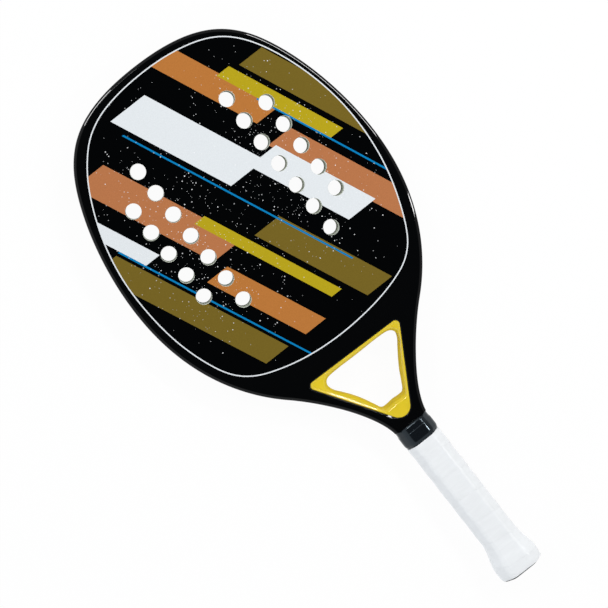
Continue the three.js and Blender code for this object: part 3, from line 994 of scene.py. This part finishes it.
@dataclass(frozen=True)
class Drilling:
    """The lightening holes: two columns on each side, turned a little as drilled."""

    middle: Point = (-1.2, 372.3)
    turn: float = math.radians(1.4)
    columns: tuple[tuple[float, int], ...] = ((44.0, 7), (66.05, 5))
    pitch: float = 21.18
    radius: float = 6.2
    sides: int = 56

    def centres(self) -> list[Vector]:
        """Lists the centres of the holes.

        Returns:
            The centres, the left side's columns first.
        """
        found = []
        for way in (-1, 1):
            for across, count in self.columns:
                for row in range(count):
                    place = Vector((way * across, (row - (count - 1) / 2) * self.pitch))
                    found.append(Matrix.Rotation(self.turn, 2) @ place + Vector(self.middle))
        return found

    def rim(self, centre: Vector, widths: Sequence[float], heights: list[float], finish: int) -> Rim:
        """Makes the edge of a hole.

        Args:
            centre: Its centre.
            widths: How much wider than drilled it is at each height.
            heights: The heights.
            finish: The finish of its wall.

        Returns:
            The rim.
        """
        return Rim([circle(centre, self.radius + w, self.sides) for w in widths], heights, finish)


@dataclass
class RacketFrame:
    """The moulded frame: the tube of the head and arms with the bridge, which the
    lacquer makes one, and the two tubes that run on down the handle."""

    head: HeadShape = field(default_factory=HeadShape)
    throat: Throat = field(default_factory=Throat)
    shelf_height: float = 9.7
    lap: float = 5.0
    throat_round: float = 0.8
    # How far out and down the rings of the eased edge lie, as shares of its rounding, and how
    # far out at the bead, in millimetres
    throat_edge: tuple[Place, ...] = (
        (1.0, 0.0, 2.0), (0.45, 0.16, 1.54), (0.12, 0.5, 0.92), (0.0, 1.0, 0.0))
    stem_x: float = 4.4
    stem_size: Point = (8.2, 12.0)
    stem_wall: float = 1.9
    stem_round: float = 3.0
    stem_steps: int = 4
    stem_low: float = 4.1
    stem_high: float = 150.5

    def outer_rim(self) -> Rim:
        """Makes the outer edge, rounded from both faces.

        Returns:
            The rim.
        """
        rings = [self.head.ring(inset) for inset, _ in self.head.edge]
        heights = [self.head.half_thickness - drop for _, drop in self.head.edge]
        return Rim(rings, heights).mirrored()

    def pocket_rim(self) -> Rim:
        """Makes the pocket of the core and the faces, with its two shelves.

        Returns:
            The rim.
        """
        front = self.head.border()
        back = self.head.loop_from_behind(front)
        shelf, shelf_back = beside(front, -self.lap), beside(back, -self.lap)
        top, shelf_z = self.head.half_thickness, self.shelf_height
        return Rim([front, front, shelf, shelf_back, back, back],
                   [top, shelf_z, shelf_z, -shelf_z, -shelf_z, -top])

    def throat_rim(self) -> Rim:
        """Makes the edge round the throat, eased at both faces.

        Returns:
            The rim.
        """
        top, size = self.head.half_thickness, self.throat_round
        rings = [self.throat.eased_edge(out * size, bead) for out, _, bead in self.throat_edge]
        return Rim(rings, [top - drop * size for _, drop, _ in self.throat_edge]).mirrored()

    def stems(self) -> tuple[list[Vector], Faces]:
        """Makes the two hollow tubes that run down the handle.

        Returns:
            Their points and faces.
        """
        wide, high = (s / 2 for s in self.stem_size)
        points, faces = [], []
        for side in (-1, 1):
            rings = []
            for wall, ends in ((0.0, (self.stem_low, self.stem_high)),
                               (self.stem_wall, (self.stem_high, self.stem_low))):
                w, h = wide - wall, high - wall
                corners = [(-w, -h), (w, -h), (w, h), (-w, h)]
                section = rounded(corners, [self.stem_round - wall] * len(corners), self.stem_steps)
                rings += [[Vector((side * self.stem_x + p.x, y, -p.y)) for p in section] for y in ends]
            more, skins = skin(rings, looped=True)
            faces += renumbered(skins, len(points))
            points += more
        return points, faces

    def build(self) -> None:
        """Makes the frame in place of its tube and bridge."""
        points, faces, finishes = Plate([self.outer_rim(), self.pocket_rim(), self.throat_rim()]).build()
        more, stem_faces = self.stems()
        faces += renumbered(stem_faces, len(points))
        finishes += [0] * len(stem_faces)
        shell = piece("frame_shell", points + more, faces, [Finishes.LACQUER.value], finishes)
        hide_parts("frame_tube", "throat_bridge")


def slanted_bar(middle: Point, height: float, width: float, slant: float) -> Plan:
    """Draws a straight bar that leans, with level ends.

    Args:
        middle: Its middle.
        height: How high it reaches.
        width: Its width, square to its sides.
        slant: Its turn from the X axis, in radians.

    Returns:
        Its outline, counter-clockwise.
    """
    (x, y), half = middle, width / 2 / math.sin(slant)
    lean, rise = height / 2 / math.tan(slant), height / 2
    corners = ((-lean - half, -rise), (-lean + half, -rise), (lean + half, rise), (lean - half, rise))
    return [Vector((x + across, y + up)) for across, up in corners]


@dataclass
class PrintedDesign:
    """The plain design on the faces: slanted bars of several widths and lengths with thin
    lines between them, inside a white line round the edge."""

    head: HeadShape = field(default_factory=HeadShape)
    inks: tuple[Finishes, ...] = (
        Finishes.BLACK_INK, Finishes.WHITE_INK, Finishes.ORANGE_INK, Finishes.COPPER_INK,
        Finishes.OLIVE_INK, Finishes.YELLOW_INK, Finishes.BLUE_INK)
    slant: float = math.radians(114)
    thin: float = 1.4

    def areas(self) -> list[tuple[Finishes, Plan]]:
        """Lists the printed areas.

        Returns:
            The ink and the outline of each, the later ones on top.
        """
        olive, copper, orange = Finishes.OLIVE_INK, Finishes.COPPER_INK, Finishes.ORANGE_INK
        white, yellow, blue = Finishes.WHITE_INK, Finishes.YELLOW_INK, Finishes.BLUE_INK
        # Each bar's ink, its middle, how high it reaches and its width
        bars = [
            (olive, (-80, 326), 137, 20), (copper, (-54, 400), 110, 26), (orange, (-30, 296), 79, 18),
            (white, (-2, 430), 95, 30), (yellow, (-8, 322), 110, 9), (olive, (26, 296), 91, 22),
            (copper, (82, 330), 119, 20), (white, (54, 346), 80, 24), (orange, (40, 450), 84, 20),
            (yellow, (72, 410), 91, 11), (olive, (102, 392), 119, 20), (white, (-100, 420), 91, 12),
            (blue, (-62, 318), 155, self.thin), (blue, (2, 372), 183, self.thin),
            (blue, (92, 350), 146, self.thin),
        ]
        return [(ink, slanted_bar(middle, height, width, self.slant)) for ink, middle, height, width in bars]

    def border_line(self) -> tuple[Plan, Plan]:
        """Draws the outer and the inner edge of the white line."""
        half = self.head.pinline_width / 2
        return self.head.pinline_loop(half), self.head.pinline_loop(-half)

    def outlines(self) -> list[Plan]:
        """Lists all the outlines that divide the face."""
        return [*self.border_line(), *(area for _, area in self.areas())]

    def paint(self, places: np.ndarray) -> np.ndarray:
        """Finds the ink at some places.

        Args:
            places: The places, one a row.

        Returns:
            The number of the ink at each.
        """
        found = np.zeros(len(places), dtype=int)
        for ink, area in self.areas():
            found[inside(places, area)] = self.inks.index(ink)
        outer, inner = self.border_line()
        found[~inside(places, inner)] = self.inks.index(Finishes.WHITE_INK)
        found[~inside(places, outer)] = self.inks.index(Finishes.BLACK_INK)
        return found


@dataclass
class HittingFace:
    """The drilled core and the two printed laminates on it."""

    head: HeadShape = field(default_factory=HeadShape)
    drilling: Drilling = field(default_factory=Drilling)
    design: PrintedDesign = field(default_factory=PrintedDesign)
    seam: float = 0.05
    laminate_low: float = 10.0
    core_top: float = 9.65
    core_margin: float = 5.4
    hole_ease: float = 0.1
    # How far out and down the rings of a hole's eased edge lie, as shares of its ease
    hole_edge: tuple[Point, ...] = ((1.0, 0.0), (0.3, 0.25), (0.0, 1.0))

    def laminate(self, name: str, node: str, behind: bool) -> None:
        """Makes a printed laminate.

        Args:
            name: The piece's name.
            node: The CAD node that it stands for.
            behind: Whether it is the back one, which is drawn as it looks from there.
        """
        top = self.head.half_thickness
        rims = [Rim([self.head.border(-self.seam)] * 2, [top, self.laminate_low])]
        widths = [out * self.hole_ease for out, _ in self.hole_edge] + [0.0]
        heights = [top - down * self.hole_ease for _, down in self.hole_edge] + [self.laminate_low]
        cut_edge = len(self.design.inks)
        for centre in self.drilling.centres():
            centre = self.head.from_behind(centre) if behind else centre
            rims.append(self.drilling.rim(centre, widths, heights, cut_edge))
        points, faces, finishes = Plate(rims, self.design.outlines(), self.design.paint).build()
        if behind:
            points = [Vector((*self.head.from_behind(p), -p.z)) for p in points]
        inks = [ink.value for ink in self.design.inks] + [Finishes.CUT_LAMINATE.value]
        laminate = piece(name, points, faces, inks, finishes)
        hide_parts(node)

    def core(self) -> None:
        """Makes the drilled foam core."""
        front = self.head.border(-self.core_margin)
        heights = [self.core_top, -self.core_top]
        rims = [Rim([front, self.head.loop_from_behind(front)], heights)]
        rims += [self.drilling.rim(centre, [0.0, 0.0], heights, 0) for centre in self.drilling.centres()]
        core = piece("drilled_core", *Plate(rims).build()[:2], [Finishes.EVA_FOAM.value])
        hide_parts("foam_core")

    def build(self) -> None:
        """Makes the core and both laminates."""
        self.core()
        self.laminate("front_laminate", "front_face", False)
        self.laminate("back_laminate", "back_face", True)


@dataclass
class ThroatLiner:
    """The moulded liner: a narrow lip beside the frame, then a belly that rounds over
    into the opening, and a flat gusset at its foot."""

    throat: Throat = field(default_factory=Throat)
    gap: float = 0.12
    crest_height: float = 10.75
    crest_in: float = 0.6
    crest_drop: float = 0.7
    crest_steps: int = 5
    # How far in and how far down the lip's rings lie, and the width that it takes to be whole
    lip: tuple[Point, ...] = (
        (0.0, 0.0), (0.3, 0.01), (0.42, 0.037), (0.62, 0.123), (0.82, 0.209), (1.02, 0.294), (1.17, 0.372))
    lip_needs: float = 2.6
    lip_clear: float = 0.15
    # The gusset starts where the way out of the opening points down by a share, and is whole
    # where it points down by that much more
    gusset_from: float = 0.55
    gusset_fade: float = 0.35
    gusset_round: float = 3.4
    gusset_step: float = 0.6
    # How far in and how far down from the lip the belly starts
    belly_seam: Point = (0.04, 0.02)
    belly_width: float = 3.0
    belly_height: float = 6.0
    belly_start: float = math.radians(13)
    belly_steps: int = 9
    # Nearer the middle than this the wall takes the matt resin, darkened as painted shade
    matt_shaded_below: float = 9.0

    def outer_rim(self) -> Rim:
        """Makes the edge beside the frame, rounded over at both faces.

        Returns:
            The rim.
        """
        turns = [math.pi / 2 / self.crest_steps * i for i in range(self.crest_steps + 1)]
        rings = [self.throat.edge(-self.gap - self.crest_in * (1 - math.sin(turn))) for turn in turns]
        heights = [self.crest_height - self.crest_drop * (1 - math.cos(turn)) for turn in turns]
        return Rim(rings, heights).mirrored()

    def ways(self, waist: Plan) -> list[tuple[Vector, float, float]]:
        """Finds how the liner widens from each point of its opening.

        Args:
            waist: The opening at its narrowest.

        Returns:
            For each point the way out, how far the lip lies, and how much of a gusset it is.
        """
        limit = self.throat.edge(-self.gap - self.crest_in - self.lip_clear)
        found = []
        for point, away in zip(waist, beside(waist, 1.0)):
            way = (away - point).normalized()
            gusset = held((-way.y - self.gusset_from) / self.gusset_fade)
            reach = self.reach(point, way, limit)
            found.append((way, reach * (1 - gusset) + min(self.gusset_round, reach) * gusset, gusset))
        return found

    @staticmethod
    def reach(point: Vector, way: Vector, loop: Plan) -> float:
        """Finds how far a ray runs to a closed outline around it.

        Args:
            point: Where it starts.
            way: Its direction.
            loop: The outline.

        Returns:
            The distance.
        """
        best = math.inf
        for i, end in enumerate(loop):
            start = loop[i - 1]
            edge = end - start
            turn = way.cross(edge)
            if abs(turn) > TINY:
                along = (start - point).cross(edge) / turn
                share = (start - point).cross(way) / turn
                if along > 0 and -TINY <= share <= 1 + TINY:
                    best = min(best, along)
        return best

    def lip_share(self, reach: float) -> float:
        """Gives how much of the lip has room, where the liner is this wide."""
        return min(1.0, reach / self.lip_needs)

    def inner_rim(self) -> Rim:
        """Makes the edge round the opening.

        Returns:
            The rim, matt on its inner wall, where the resin is a little darker as painted shade.
        """
        waist = self.throat.waist()
        ways = self.ways(waist)
        rings = [[point + way * (reach - into * self.lip_share(reach))
                  for point, (way, reach, _) in zip(waist, ways)] for into, _ in self.lip]
        heights = [self.crest_height - drop for _, drop in self.lip]
        (lip_end, lip_drop), (seam_in, seam_down) = self.lip[-1], self.belly_seam
        span = math.pi / 2 - self.belly_start
        for step in range(self.belly_steps + 1):
            turn = self.belly_start + span * step / self.belly_steps
            share = (1 - math.sin(turn)) / (1 - math.sin(self.belly_start))
            ring = []
            for point, (way, reach, gusset) in zip(waist, ways):
                rest = reach - lip_end * self.lip_share(reach) - seam_in - self.gusset_step * gusset
                ring.append(point + way * min(rest, self.belly_width) * share)
            rings.append(ring)
            fall = math.cos(self.belly_start) - math.cos(turn)
            heights.append(self.crest_height - lip_drop - seam_down - self.belly_height * fall)
        return Rim(rings, heights, inner_finish=1, inner_height=self.matt_shaded_below).mirrored()

    def build(self) -> None:
        """Makes the liner."""
        points, faces, finishes = Plate([self.outer_rim(), self.inner_rim()]).build()
        resins = [Finishes.LINER_RESIN.value, Finishes.LINER_SHADED_WALL.value]
        liner = piece("moulded_liner", points, faces, resins, finishes)
        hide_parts("throat_liner")


@dataclass(frozen=True)
class HandleShape:
    """The eight-sided section of the handle and the flare at its butt."""

    half_width: float = 12.4
    half_height: float = 10.15
    front_share: float = 0.58
    side_share: float = 0.4
    arc_steps: int = 7
    flat_steps: int = 2
    flare_length: float = 34.0
    flare_wide: float = 4.25
    flare_high: float = 3.9
    flare_lean: float = -1.1
    flare_round: float = 3.0
    # How far along the flare, and how much of it stands out there
    flare: tuple[Point, ...] = (
        (0.0, 0.8), (0.09, 0.92), (0.2, 1.0), (0.3, 0.97), (0.38, 0.87), (0.46, 0.74), (0.55, 0.57),
        (0.65, 0.36), (0.76, 0.19), (0.88, 0.06), (1.0, 0.0))

    @property
    def spokes(self) -> int:
        """How many points go round a section, which has eight edges."""
        return 8 * (self.arc_steps + self.flat_steps)

    def flare_share(self, y: float) -> float:
        """Gives how far the flare stands out.

        Args:
            y: The height.

        Returns:
            A share of the whole flare.
        """
        along = held(y / self.flare_length)
        places, shares = zip(*self.flare)
        k = min(sum(p <= along for p in places), len(places) - 1)
        slopes = np.gradient(shares, places)
        span = places[k] - places[k - 1]
        return float(between(shares[k - 1], slopes[k - 1] * span, shares[k], slopes[k] * span,
                             (along - places[k - 1]) / span))

    def section(self, wide: float, high: float, radius: float) -> Plan:
        """Draws the section.

        Args:
            wide: Half its width.
            high: Half its height.
            radius: The rounding of its eight edges.

        Returns:
            Its points as width and height, from the right side over the front.
        """
        f, s = self.front_share * wide, self.side_share * high
        corners = [(wide, -s), (wide, s), (f, high), (-f, high), (-wide, s), (-wide, -s), (-f, -high),
                   (f, -high)]
        arcs = rounded(corners, [radius] * len(corners), self.arc_steps - 1)
        ring = []
        for first in range(0, len(arcs), self.arc_steps):
            arc = arcs[first:first + self.arc_steps]
            following = arcs[(first + self.arc_steps) % len(arcs)]
            shares = [k / (self.flat_steps + 1) for k in range(1, self.flat_steps + 1)]
            ring += arc + [arc[-1].lerp(following, share) for share in shares]
        return ring

    @cache
    def ring(self, y: float, layer: float, radius: float, flared: float = 1.0) -> list[Vector]:
        """Draws a ring of a layer that lies this far outside the foam of the handle.

        Args:
            y: The height.
            layer: How far outside.
            radius: The rounding of its edges.
            flared: How much of the flare it has.

        Returns:
            The ring in space.
        """
        out = self.flare_share(y) * flared
        plan = self.section(self.half_width + layer + self.flare_wide * out,
                            self.half_height + layer + self.flare_high * out, radius + self.flare_round * out)
        return [Vector((p.x + self.flare_lean * out, y, p.y)) for p in plan]


@dataclass
class WoundTape:
    """One strip of tape wound up the handle, each turn lying over the edge of the last."""

    name: str
    node: str
    slot: str
    finish: Finishes
    shape: HandleShape = field(default_factory=HandleShape)
    pitch: float = 22.0
    overlap: float = 4.0
    # How far up the strip takes to come down off the turn below, how far before the overlap's
    # end it starts to, and the air under it
    slope: float = 11.0
    slope_early: float = 0.6
    air: float = 0.03
    thickness: float = 0.18
    layer: float = 2.37
    radius: float = 5.5
    # The lower end's height, with how far and which way round it waves
    low: float = 0.85
    low_wave: float = 0.45
    low_turn: float = math.radians(70)
    high: float = 132.8
    start: float = -18.6
    end_round: float = 0.9
    end_dip: float = 0.35
    narrowest: float = 0.3
    # The places of the strip's section: its rounded lower edge as heights and shares of the
    # thickness, heights above that, heights past the overlap, depths under its upper edge, and
    # how far out that edge lies
    lower_edge: tuple[Point, ...] = ((0.0, 0.4), (0.1, 0.8))
    above_edge: tuple[float, ...] = (0.35, 1.2, 2.4)
    past_lap: tuple[float, ...] = (-0.4, 0.8, 2.2, 4.0, 6.0)
    under_top: tuple[float, ...] = (7, 3, 0.3)
    top_out: float = 0.08

    def lowest(self, spoke: int) -> float:
        """Gives the height of the lower end, which waves where the hand folded it under."""
        turn = 2 * math.pi * spoke / self.shape.spokes
        return self.low - self.low_wave * math.cos(2 * (turn - self.low_turn))

    def place(self, y: float, out: float, spoke: int) -> Vector:
        """Gives a place on the winding.

        Args:
            y: Its height.
            out: How far outside the tape's bed it lies.
            spoke: Which way round.

        Returns:
            The place.
        """
        into = 0.0
        for edge in (y - self.lowest(spoke), self.high - y):
            short = max(self.end_round - edge, 0.0)
            into = max(into, self.end_round - math.sqrt(max(self.end_round**2 - short**2, 0.0)))
        layer = self.layer + out - min(into, self.end_dip)
        # Rounded to a thousandth, so that rings already drawn are used again
        return self.shape.ring(round(y, 3), round(layer, 3), self.radius)[spoke]

    def lift(self, up: float) -> float:
        """Gives how far the turn below lifts the strip.

        Args:
            up: How far up from its lower edge.

        Returns:
            The lift.
        """
        if self.overlap <= 0:
            return 0.0
        down = gentle(held((up - self.overlap + self.slope_early) / self.slope))
        return (self.thickness + self.air) * (1 - down)

    def profile(self) -> list[Point]:
        """Draws the strip's section.

        Returns:
            The distance up from its lower edge and out from the bed, round from the lower
            edge over the outside and back inside.
        """
        width, lap, thick = self.pitch + self.overlap, self.overlap, self.thickness
        past_lap = [lap + past for past in self.past_lap]
        under_top = [width - under for under in self.under_top]
        outside = [(up, self.lift(0) + thick * share) for up, share in self.lower_edge]
        ups = [*self.above_edge, *past_lap, lap + self.slope, *under_top]
        outside += [(up, self.lift(up) + thick) for up in ups]
        inner = [(up, self.lift(up)) for up in (under_top[1], width / 2, *past_lap[::-2], 0.0)]
        return [*outside, (width, self.top_out), *inner]

    def build(self) -> bpy.types.Object:
        """Makes the winding.

        Returns:
            The object.
        """
        spokes = self.shape.spokes
        profile = self.profile()
        rings = []
        for step in range(math.ceil((self.high - self.start) / self.pitch) * spokes + 1):
            bottom = self.start + self.pitch * step / spokes
            spoke = step % spokes
            heights = [min(max(bottom + up, self.lowest(spoke)), self.high) for up, _ in profile]
            if max(heights) - min(heights) > self.narrowest:
                rings.append([self.place(y, out, spoke) for y, (_, out) in zip(heights, profile)])
        tape = piece(self.name, *skin(rings[::-1]), [self.finish.value], crease=50)
        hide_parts(self.node)
        return tape


@dataclass
class ButtCap:
    """The moulded cap that gives the butt its flare, and the plug that closes its end.

    The recess and the plug have lines as heights and how far in they lie from their size,
    and the flange as heights and how far outside the foam it lies. All run outwards.
    """

    shape: HandleShape = field(default_factory=HandleShape)
    corner: float = 5.5
    recess: Point = (9.8, 8.3)
    recess_line: tuple[Point, ...] = ((1.7, 0.0), (0.3, 0.0), (0.0, -0.3))
    flange_line: tuple[Point, ...] = (
        (0.0, 1.3), (0.08, 1.6), (0.25, 1.85), (0.6, 2.0), (2.1, 1.9), (2.3, 1.5), (2.4, 0.8))
    skirt_heights: tuple[float, ...] = (2.4, 4, 6, 8, 10, 12, 14, 16, 18, 20, 22, 24, 27, 30, 32)
    skirt_layer: float = -0.02
    cavity_layer: float = -0.8
    floor_height: float = 3.8
    plug: Point = (9.5, 8.0)
    plug_line: tuple[Point, ...] = (
        (0.25, 5.5), (0.25, 2.3), (0.0, 2.0), (0.0, 0.35), (0.06, 0.1), (0.25, 0.0), (1.4, 0.0))
    plug_corner: float = 4.0
    corner_needs: float = 3.0

    def straight(self, size: Point, line: Sequence[Point]) -> list[list[Vector]]:
        """Draws rings that lie inside the section of a size.

        Args:
            size: Half the width and half the height of the section.
            line: The height of each ring and how far in it lies.

        Returns:
            The rings.
        """
        rings = []
        for y, inset in line:
            # Each millimetre of rounding is gone this much further in
            corner = self.plug_corner - max(inset, 0) / self.corner_needs
            plan = self.shape.section(size[0] - inset, size[1] - inset, corner)
            rings.append([Vector((p.x, y, p.y)) for p in plan])
        return rings

    def build(self) -> None:
        """Makes the cap and its plug."""
        ring = self.shape.ring
        rings = self.straight(self.recess, self.recess_line)
        rings += [ring(y, layer, self.corner) for y, layer in self.flange_line]
        rings += [ring(y, self.skirt_layer, self.corner) for y in self.skirt_heights]
        cavity = (self.skirt_heights[-1], self.floor_height)
        rings += [ring(y, self.cavity_layer, self.corner, 0.0) for y in cavity]
        nylon = [Finishes.CAP_NYLON.value]
        cap = piece("moulded_cap", *skin(rings), nylon, crease=40)
        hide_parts("butt_cap")
        plug = piece("end_plug", *skin(self.straight(self.plug, self.plug_line)), nylon, crease=40)
        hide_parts("butt_plug")


@dataclass
class Handle:
    """The handle's covers: the tapes, the collar and the butt cap over the foam."""

    shape: HandleShape = field(default_factory=HandleShape)
    # The collar's section, as heights and how far outside the foam it lies
    collar_line: tuple[Point, ...] = (
        (133.0, 1.9), (133.08, 2.15), (133.25, 2.32), (133.6, 2.46), (134.5, 2.77), (135.4, 3.04),
        (136.0, 3.14), (137.0, 3.17), (140.0, 3.18), (143.3, 3.12), (143.8, 3.06), (144.15, 2.92),
        (144.35, 2.74), (144.6, 2.66), (145.2, 2.64), (148.35, 2.6), (148.45, 2.575), (148.65, 2.49),
        (148.85, 2.402), (149.05, 2.314), (149.25, 2.226), (149.4, 2.12), (149.65, 1.85), (149.85, 1.5),
        (149.97, 1.2), (150.0, 0.9), (150.0, 0.3), (133.0, 0.3))
    collar_radius: float = 8.0

    def tapes(self) -> None:
        """Winds the cushion tape and the overgrip over it."""
        cushion = WoundTape("cushion_grip", "base_grip", "cushion_tape", Finishes.CUSHION_TAPE, self.shape,
                            pitch=24, overlap=-0.3, thickness=1.45, layer=0.3, radius=4.5, low=2.7,
                            low_wave=0.0, high=132.6, start=-23.2)
        cushion.build()
        WoundTape("wound_overgrip", "overgrip", "white_tape", Finishes.WHITE_TAPE, self.shape).build()

    def collar(self) -> None:
        """Makes the rubber collar, with its narrower band at the top."""
        rings = [self.shape.ring(y, layer, self.collar_radius, 0.0) for y, layer in self.collar_line]
        collar = piece("collar_ring", *skin(rings, looped=True), [Finishes.COLLAR_RUBBER.value], crease=40)
        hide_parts("grip_collar")

    def build(self) -> None:
        """Makes the handle's covers and dresses the foam inside."""
        self.tapes()
        self.collar()
        ButtCap(self.shape).build()
        for node in ("handle_pallet_front", "handle_pallet_back"):
            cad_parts[node].material_slots[0].material = Finishes.PALLET_FOAM.value.material()


# Studio

@dataclass(frozen=True)
class StripLamp:
    """A long narrow soft lamp between two ends, turned to a place on the racket, in metres."""

    name: str
    start: Place
    end: Place
    width: float
    radiance: float
    aim: Place = (0.0, 0.3, 0.0)

    def build(self) -> None:
        """Hangs the lamp."""
        start, end = Vector(self.start), Vector(self.end)
        middle = (start + end) / 2
        along = (end - start).normalized()
        back = (middle - Vector(self.aim)).normalized()
        back = (back - along * back.dot(along)).normalized()
        lamp = bpy.data.lights.new(self.name, "AREA")
        lamp.shape = "RECTANGLE"
        lamp.size, lamp.size_y = (end - start).length, self.width
        lamp.energy = self.radiance * math.pi * lamp.size * lamp.size_y
        turn = Matrix((along, back.cross(along), back)).transposed().to_4x4()
        in_scene(self.name, lamp).matrix_world = Matrix.Translation(middle) @ turn


@dataclass(frozen=True)
class Studio:
    """The pale floor, the soft lamps and the camera of the photograph, in metres."""

    floor_height: float = -0.0178
    floor_colour: str = "#F4F5F6"
    floor_half: float = 6.0
    floor_share: float = 0.96
    left_wall: str = "#F6F8FB"
    right_wall: str = "#A6A4A3"
    wall_light: float = 1.14
    # How far up the walls end and the ceiling starts, and how far across the wall's colour
    # changes, in the directions of a unit sphere
    wall_end: Point = (0.8, 0.94)
    wall_change: Point = (-0.9, 0.9)
    lamps: tuple[StripLamp, ...] = (
        StripLamp("rim strip", (1.40, 0.20, 1.51), (1.16, 1.19, 1.60), 0.10, 46),
        StripLamp("grip lamp", (1.26, -0.34, 1.46), (1.26, -0.20, 1.46), 0.20, 60),
        StripLamp("throat lamp", (-0.20, 1.28, 1.60), (0.06, 1.28, 1.60), 0.06, 16),
        StripLamp("crown strip", (-0.56, 1.56, 1.60), (-0.14, 1.68, 1.60), 0.10, 46),
    )
    sensor_mm: float = 36.0
    lens_mm: float = 103.12
    camera_place: Place = (-0.0400, 0.4309, 1.3515)
    camera_axes: tuple[Place, Place, Place] = (
        (0.786, 0.617, -0.023), (-0.612, 0.783, 0.115), (0.089, -0.076, 0.993))

    def floor(self) -> None:
        """Lays the floor. The camera sees it near white, with the racket's soft shadow."""
        mesh = bpy.data.meshes.new("floor")
        half, z = self.floor_half, self.floor_height
        corners = [(-half, -half, z), (half, -half, z), (half, half, z), (-half, half, z)]
        mesh.from_pydata(corners, [], [(0, 1, 2, 3)])
        material = bpy.data.materials.new("white sweep")
        tree = empty_tree(material)
        paper = add_node(tree, "BsdfDiffuse", {"Color": linear(self.floor_colour)})
        white = add_node(tree, "Emission", {"Color": (1, 1, 1, 1), "Strength": 1.0})
        rays = add_node(tree, "LightPath").outputs
        mirrored = add_node(tree, "Math", {0: rays["Is Glossy Ray"], 1: rays["Is Transmission Ray"]},
                            operation="ADD")
        seen = add_node(tree, "Math", {0: rays["Is Camera Ray"], 1: mirrored}, operation="ADD",
                        use_clamp=True)
        share = add_node(tree, "Math", {0: seen, 1: self.floor_share}, operation="MULTIPLY")
        mixed = add_node(tree, "MixShader", {0: share, 1: paper, 2: white})
        add_node(tree, "OutputMaterial", {"Surface": mixed})
        mesh.materials.append(material)
        floor = in_scene("floor", mesh)

    def world(self) -> None:
        """Lights the room from its walls, brighter on the left, with a dark ceiling for
        the gloss to reflect. The camera sees it white."""
        world = bpy.data.worlds.new("studio")
        bpy.context.scene.world = world
        tree = empty_tree(world)
        way = add_node(tree, "SeparateXYZ", {0: add_node(tree, "TexCoord").outputs["Generated"]}).outputs
        walls = add_node(tree, "MapRange", {
            "Value": way[2], "From Min": self.wall_end[0], "From Max": self.wall_end[1],
            "To Min": self.wall_light, "To Max": 0.0}, interpolation_type="SMOOTHSTEP")
        right = add_node(tree, "MapRange", {
            "Value": way[0], "From Min": self.wall_change[0], "From Max": self.wall_change[1]})
        tint = add_node(tree, "Mix", {0: right, 6: linear(self.left_wall), 7: linear(self.right_wall)},
                        data_type="RGBA")
        room = add_node(tree, "Background", {"Color": tint.outputs[2], "Strength": walls})
        white = add_node(tree, "Background", {"Color": (1, 1, 1, 1), "Strength": 1.0})
        rays = add_node(tree, "LightPath").outputs
        seen = add_node(tree, "MixShader", {0: rays["Is Camera Ray"], 1: room, 2: white})
        add_node(tree, "OutputWorld", {"Surface": seen})

    def camera(self) -> None:
        """Places the camera where the photograph was taken from."""
        camera = bpy.data.cameras.new("camera")
        camera.sensor_width, camera.lens = self.sensor_mm, self.lens_mm
        rotation = Matrix(self.camera_axes).to_quaternion().to_matrix().to_4x4()
        obj = in_scene("camera", camera)
        obj.matrix_world = Matrix.Translation(self.camera_place) @ rotation
        bpy.context.scene.camera = obj

    def build(self) -> None:
        """Makes the studio."""
        bpy.context.scene.view_settings.view_transform = "Standard"
        self.floor()
        self.world()
        for lamp in self.lamps:
            lamp.build()
        self.camera()


def main() -> None:
    """Builds the racket and the studio."""
    logging.basicConfig(level=logging.INFO, format="%(name)s: %(message)s")
    builders: list[tuple[str, Callable[[], None]]] = [
        ("frame", RacketFrame().build), ("hitting face", HittingFace().build),
        ("throat liner", ThroatLiner().build), ("handle", Handle().build), ("studio", Studio().build)]
    for name, build in builders:
        build()
        log.info("%s is done", name)


if __name__ == "__main__":
    main()
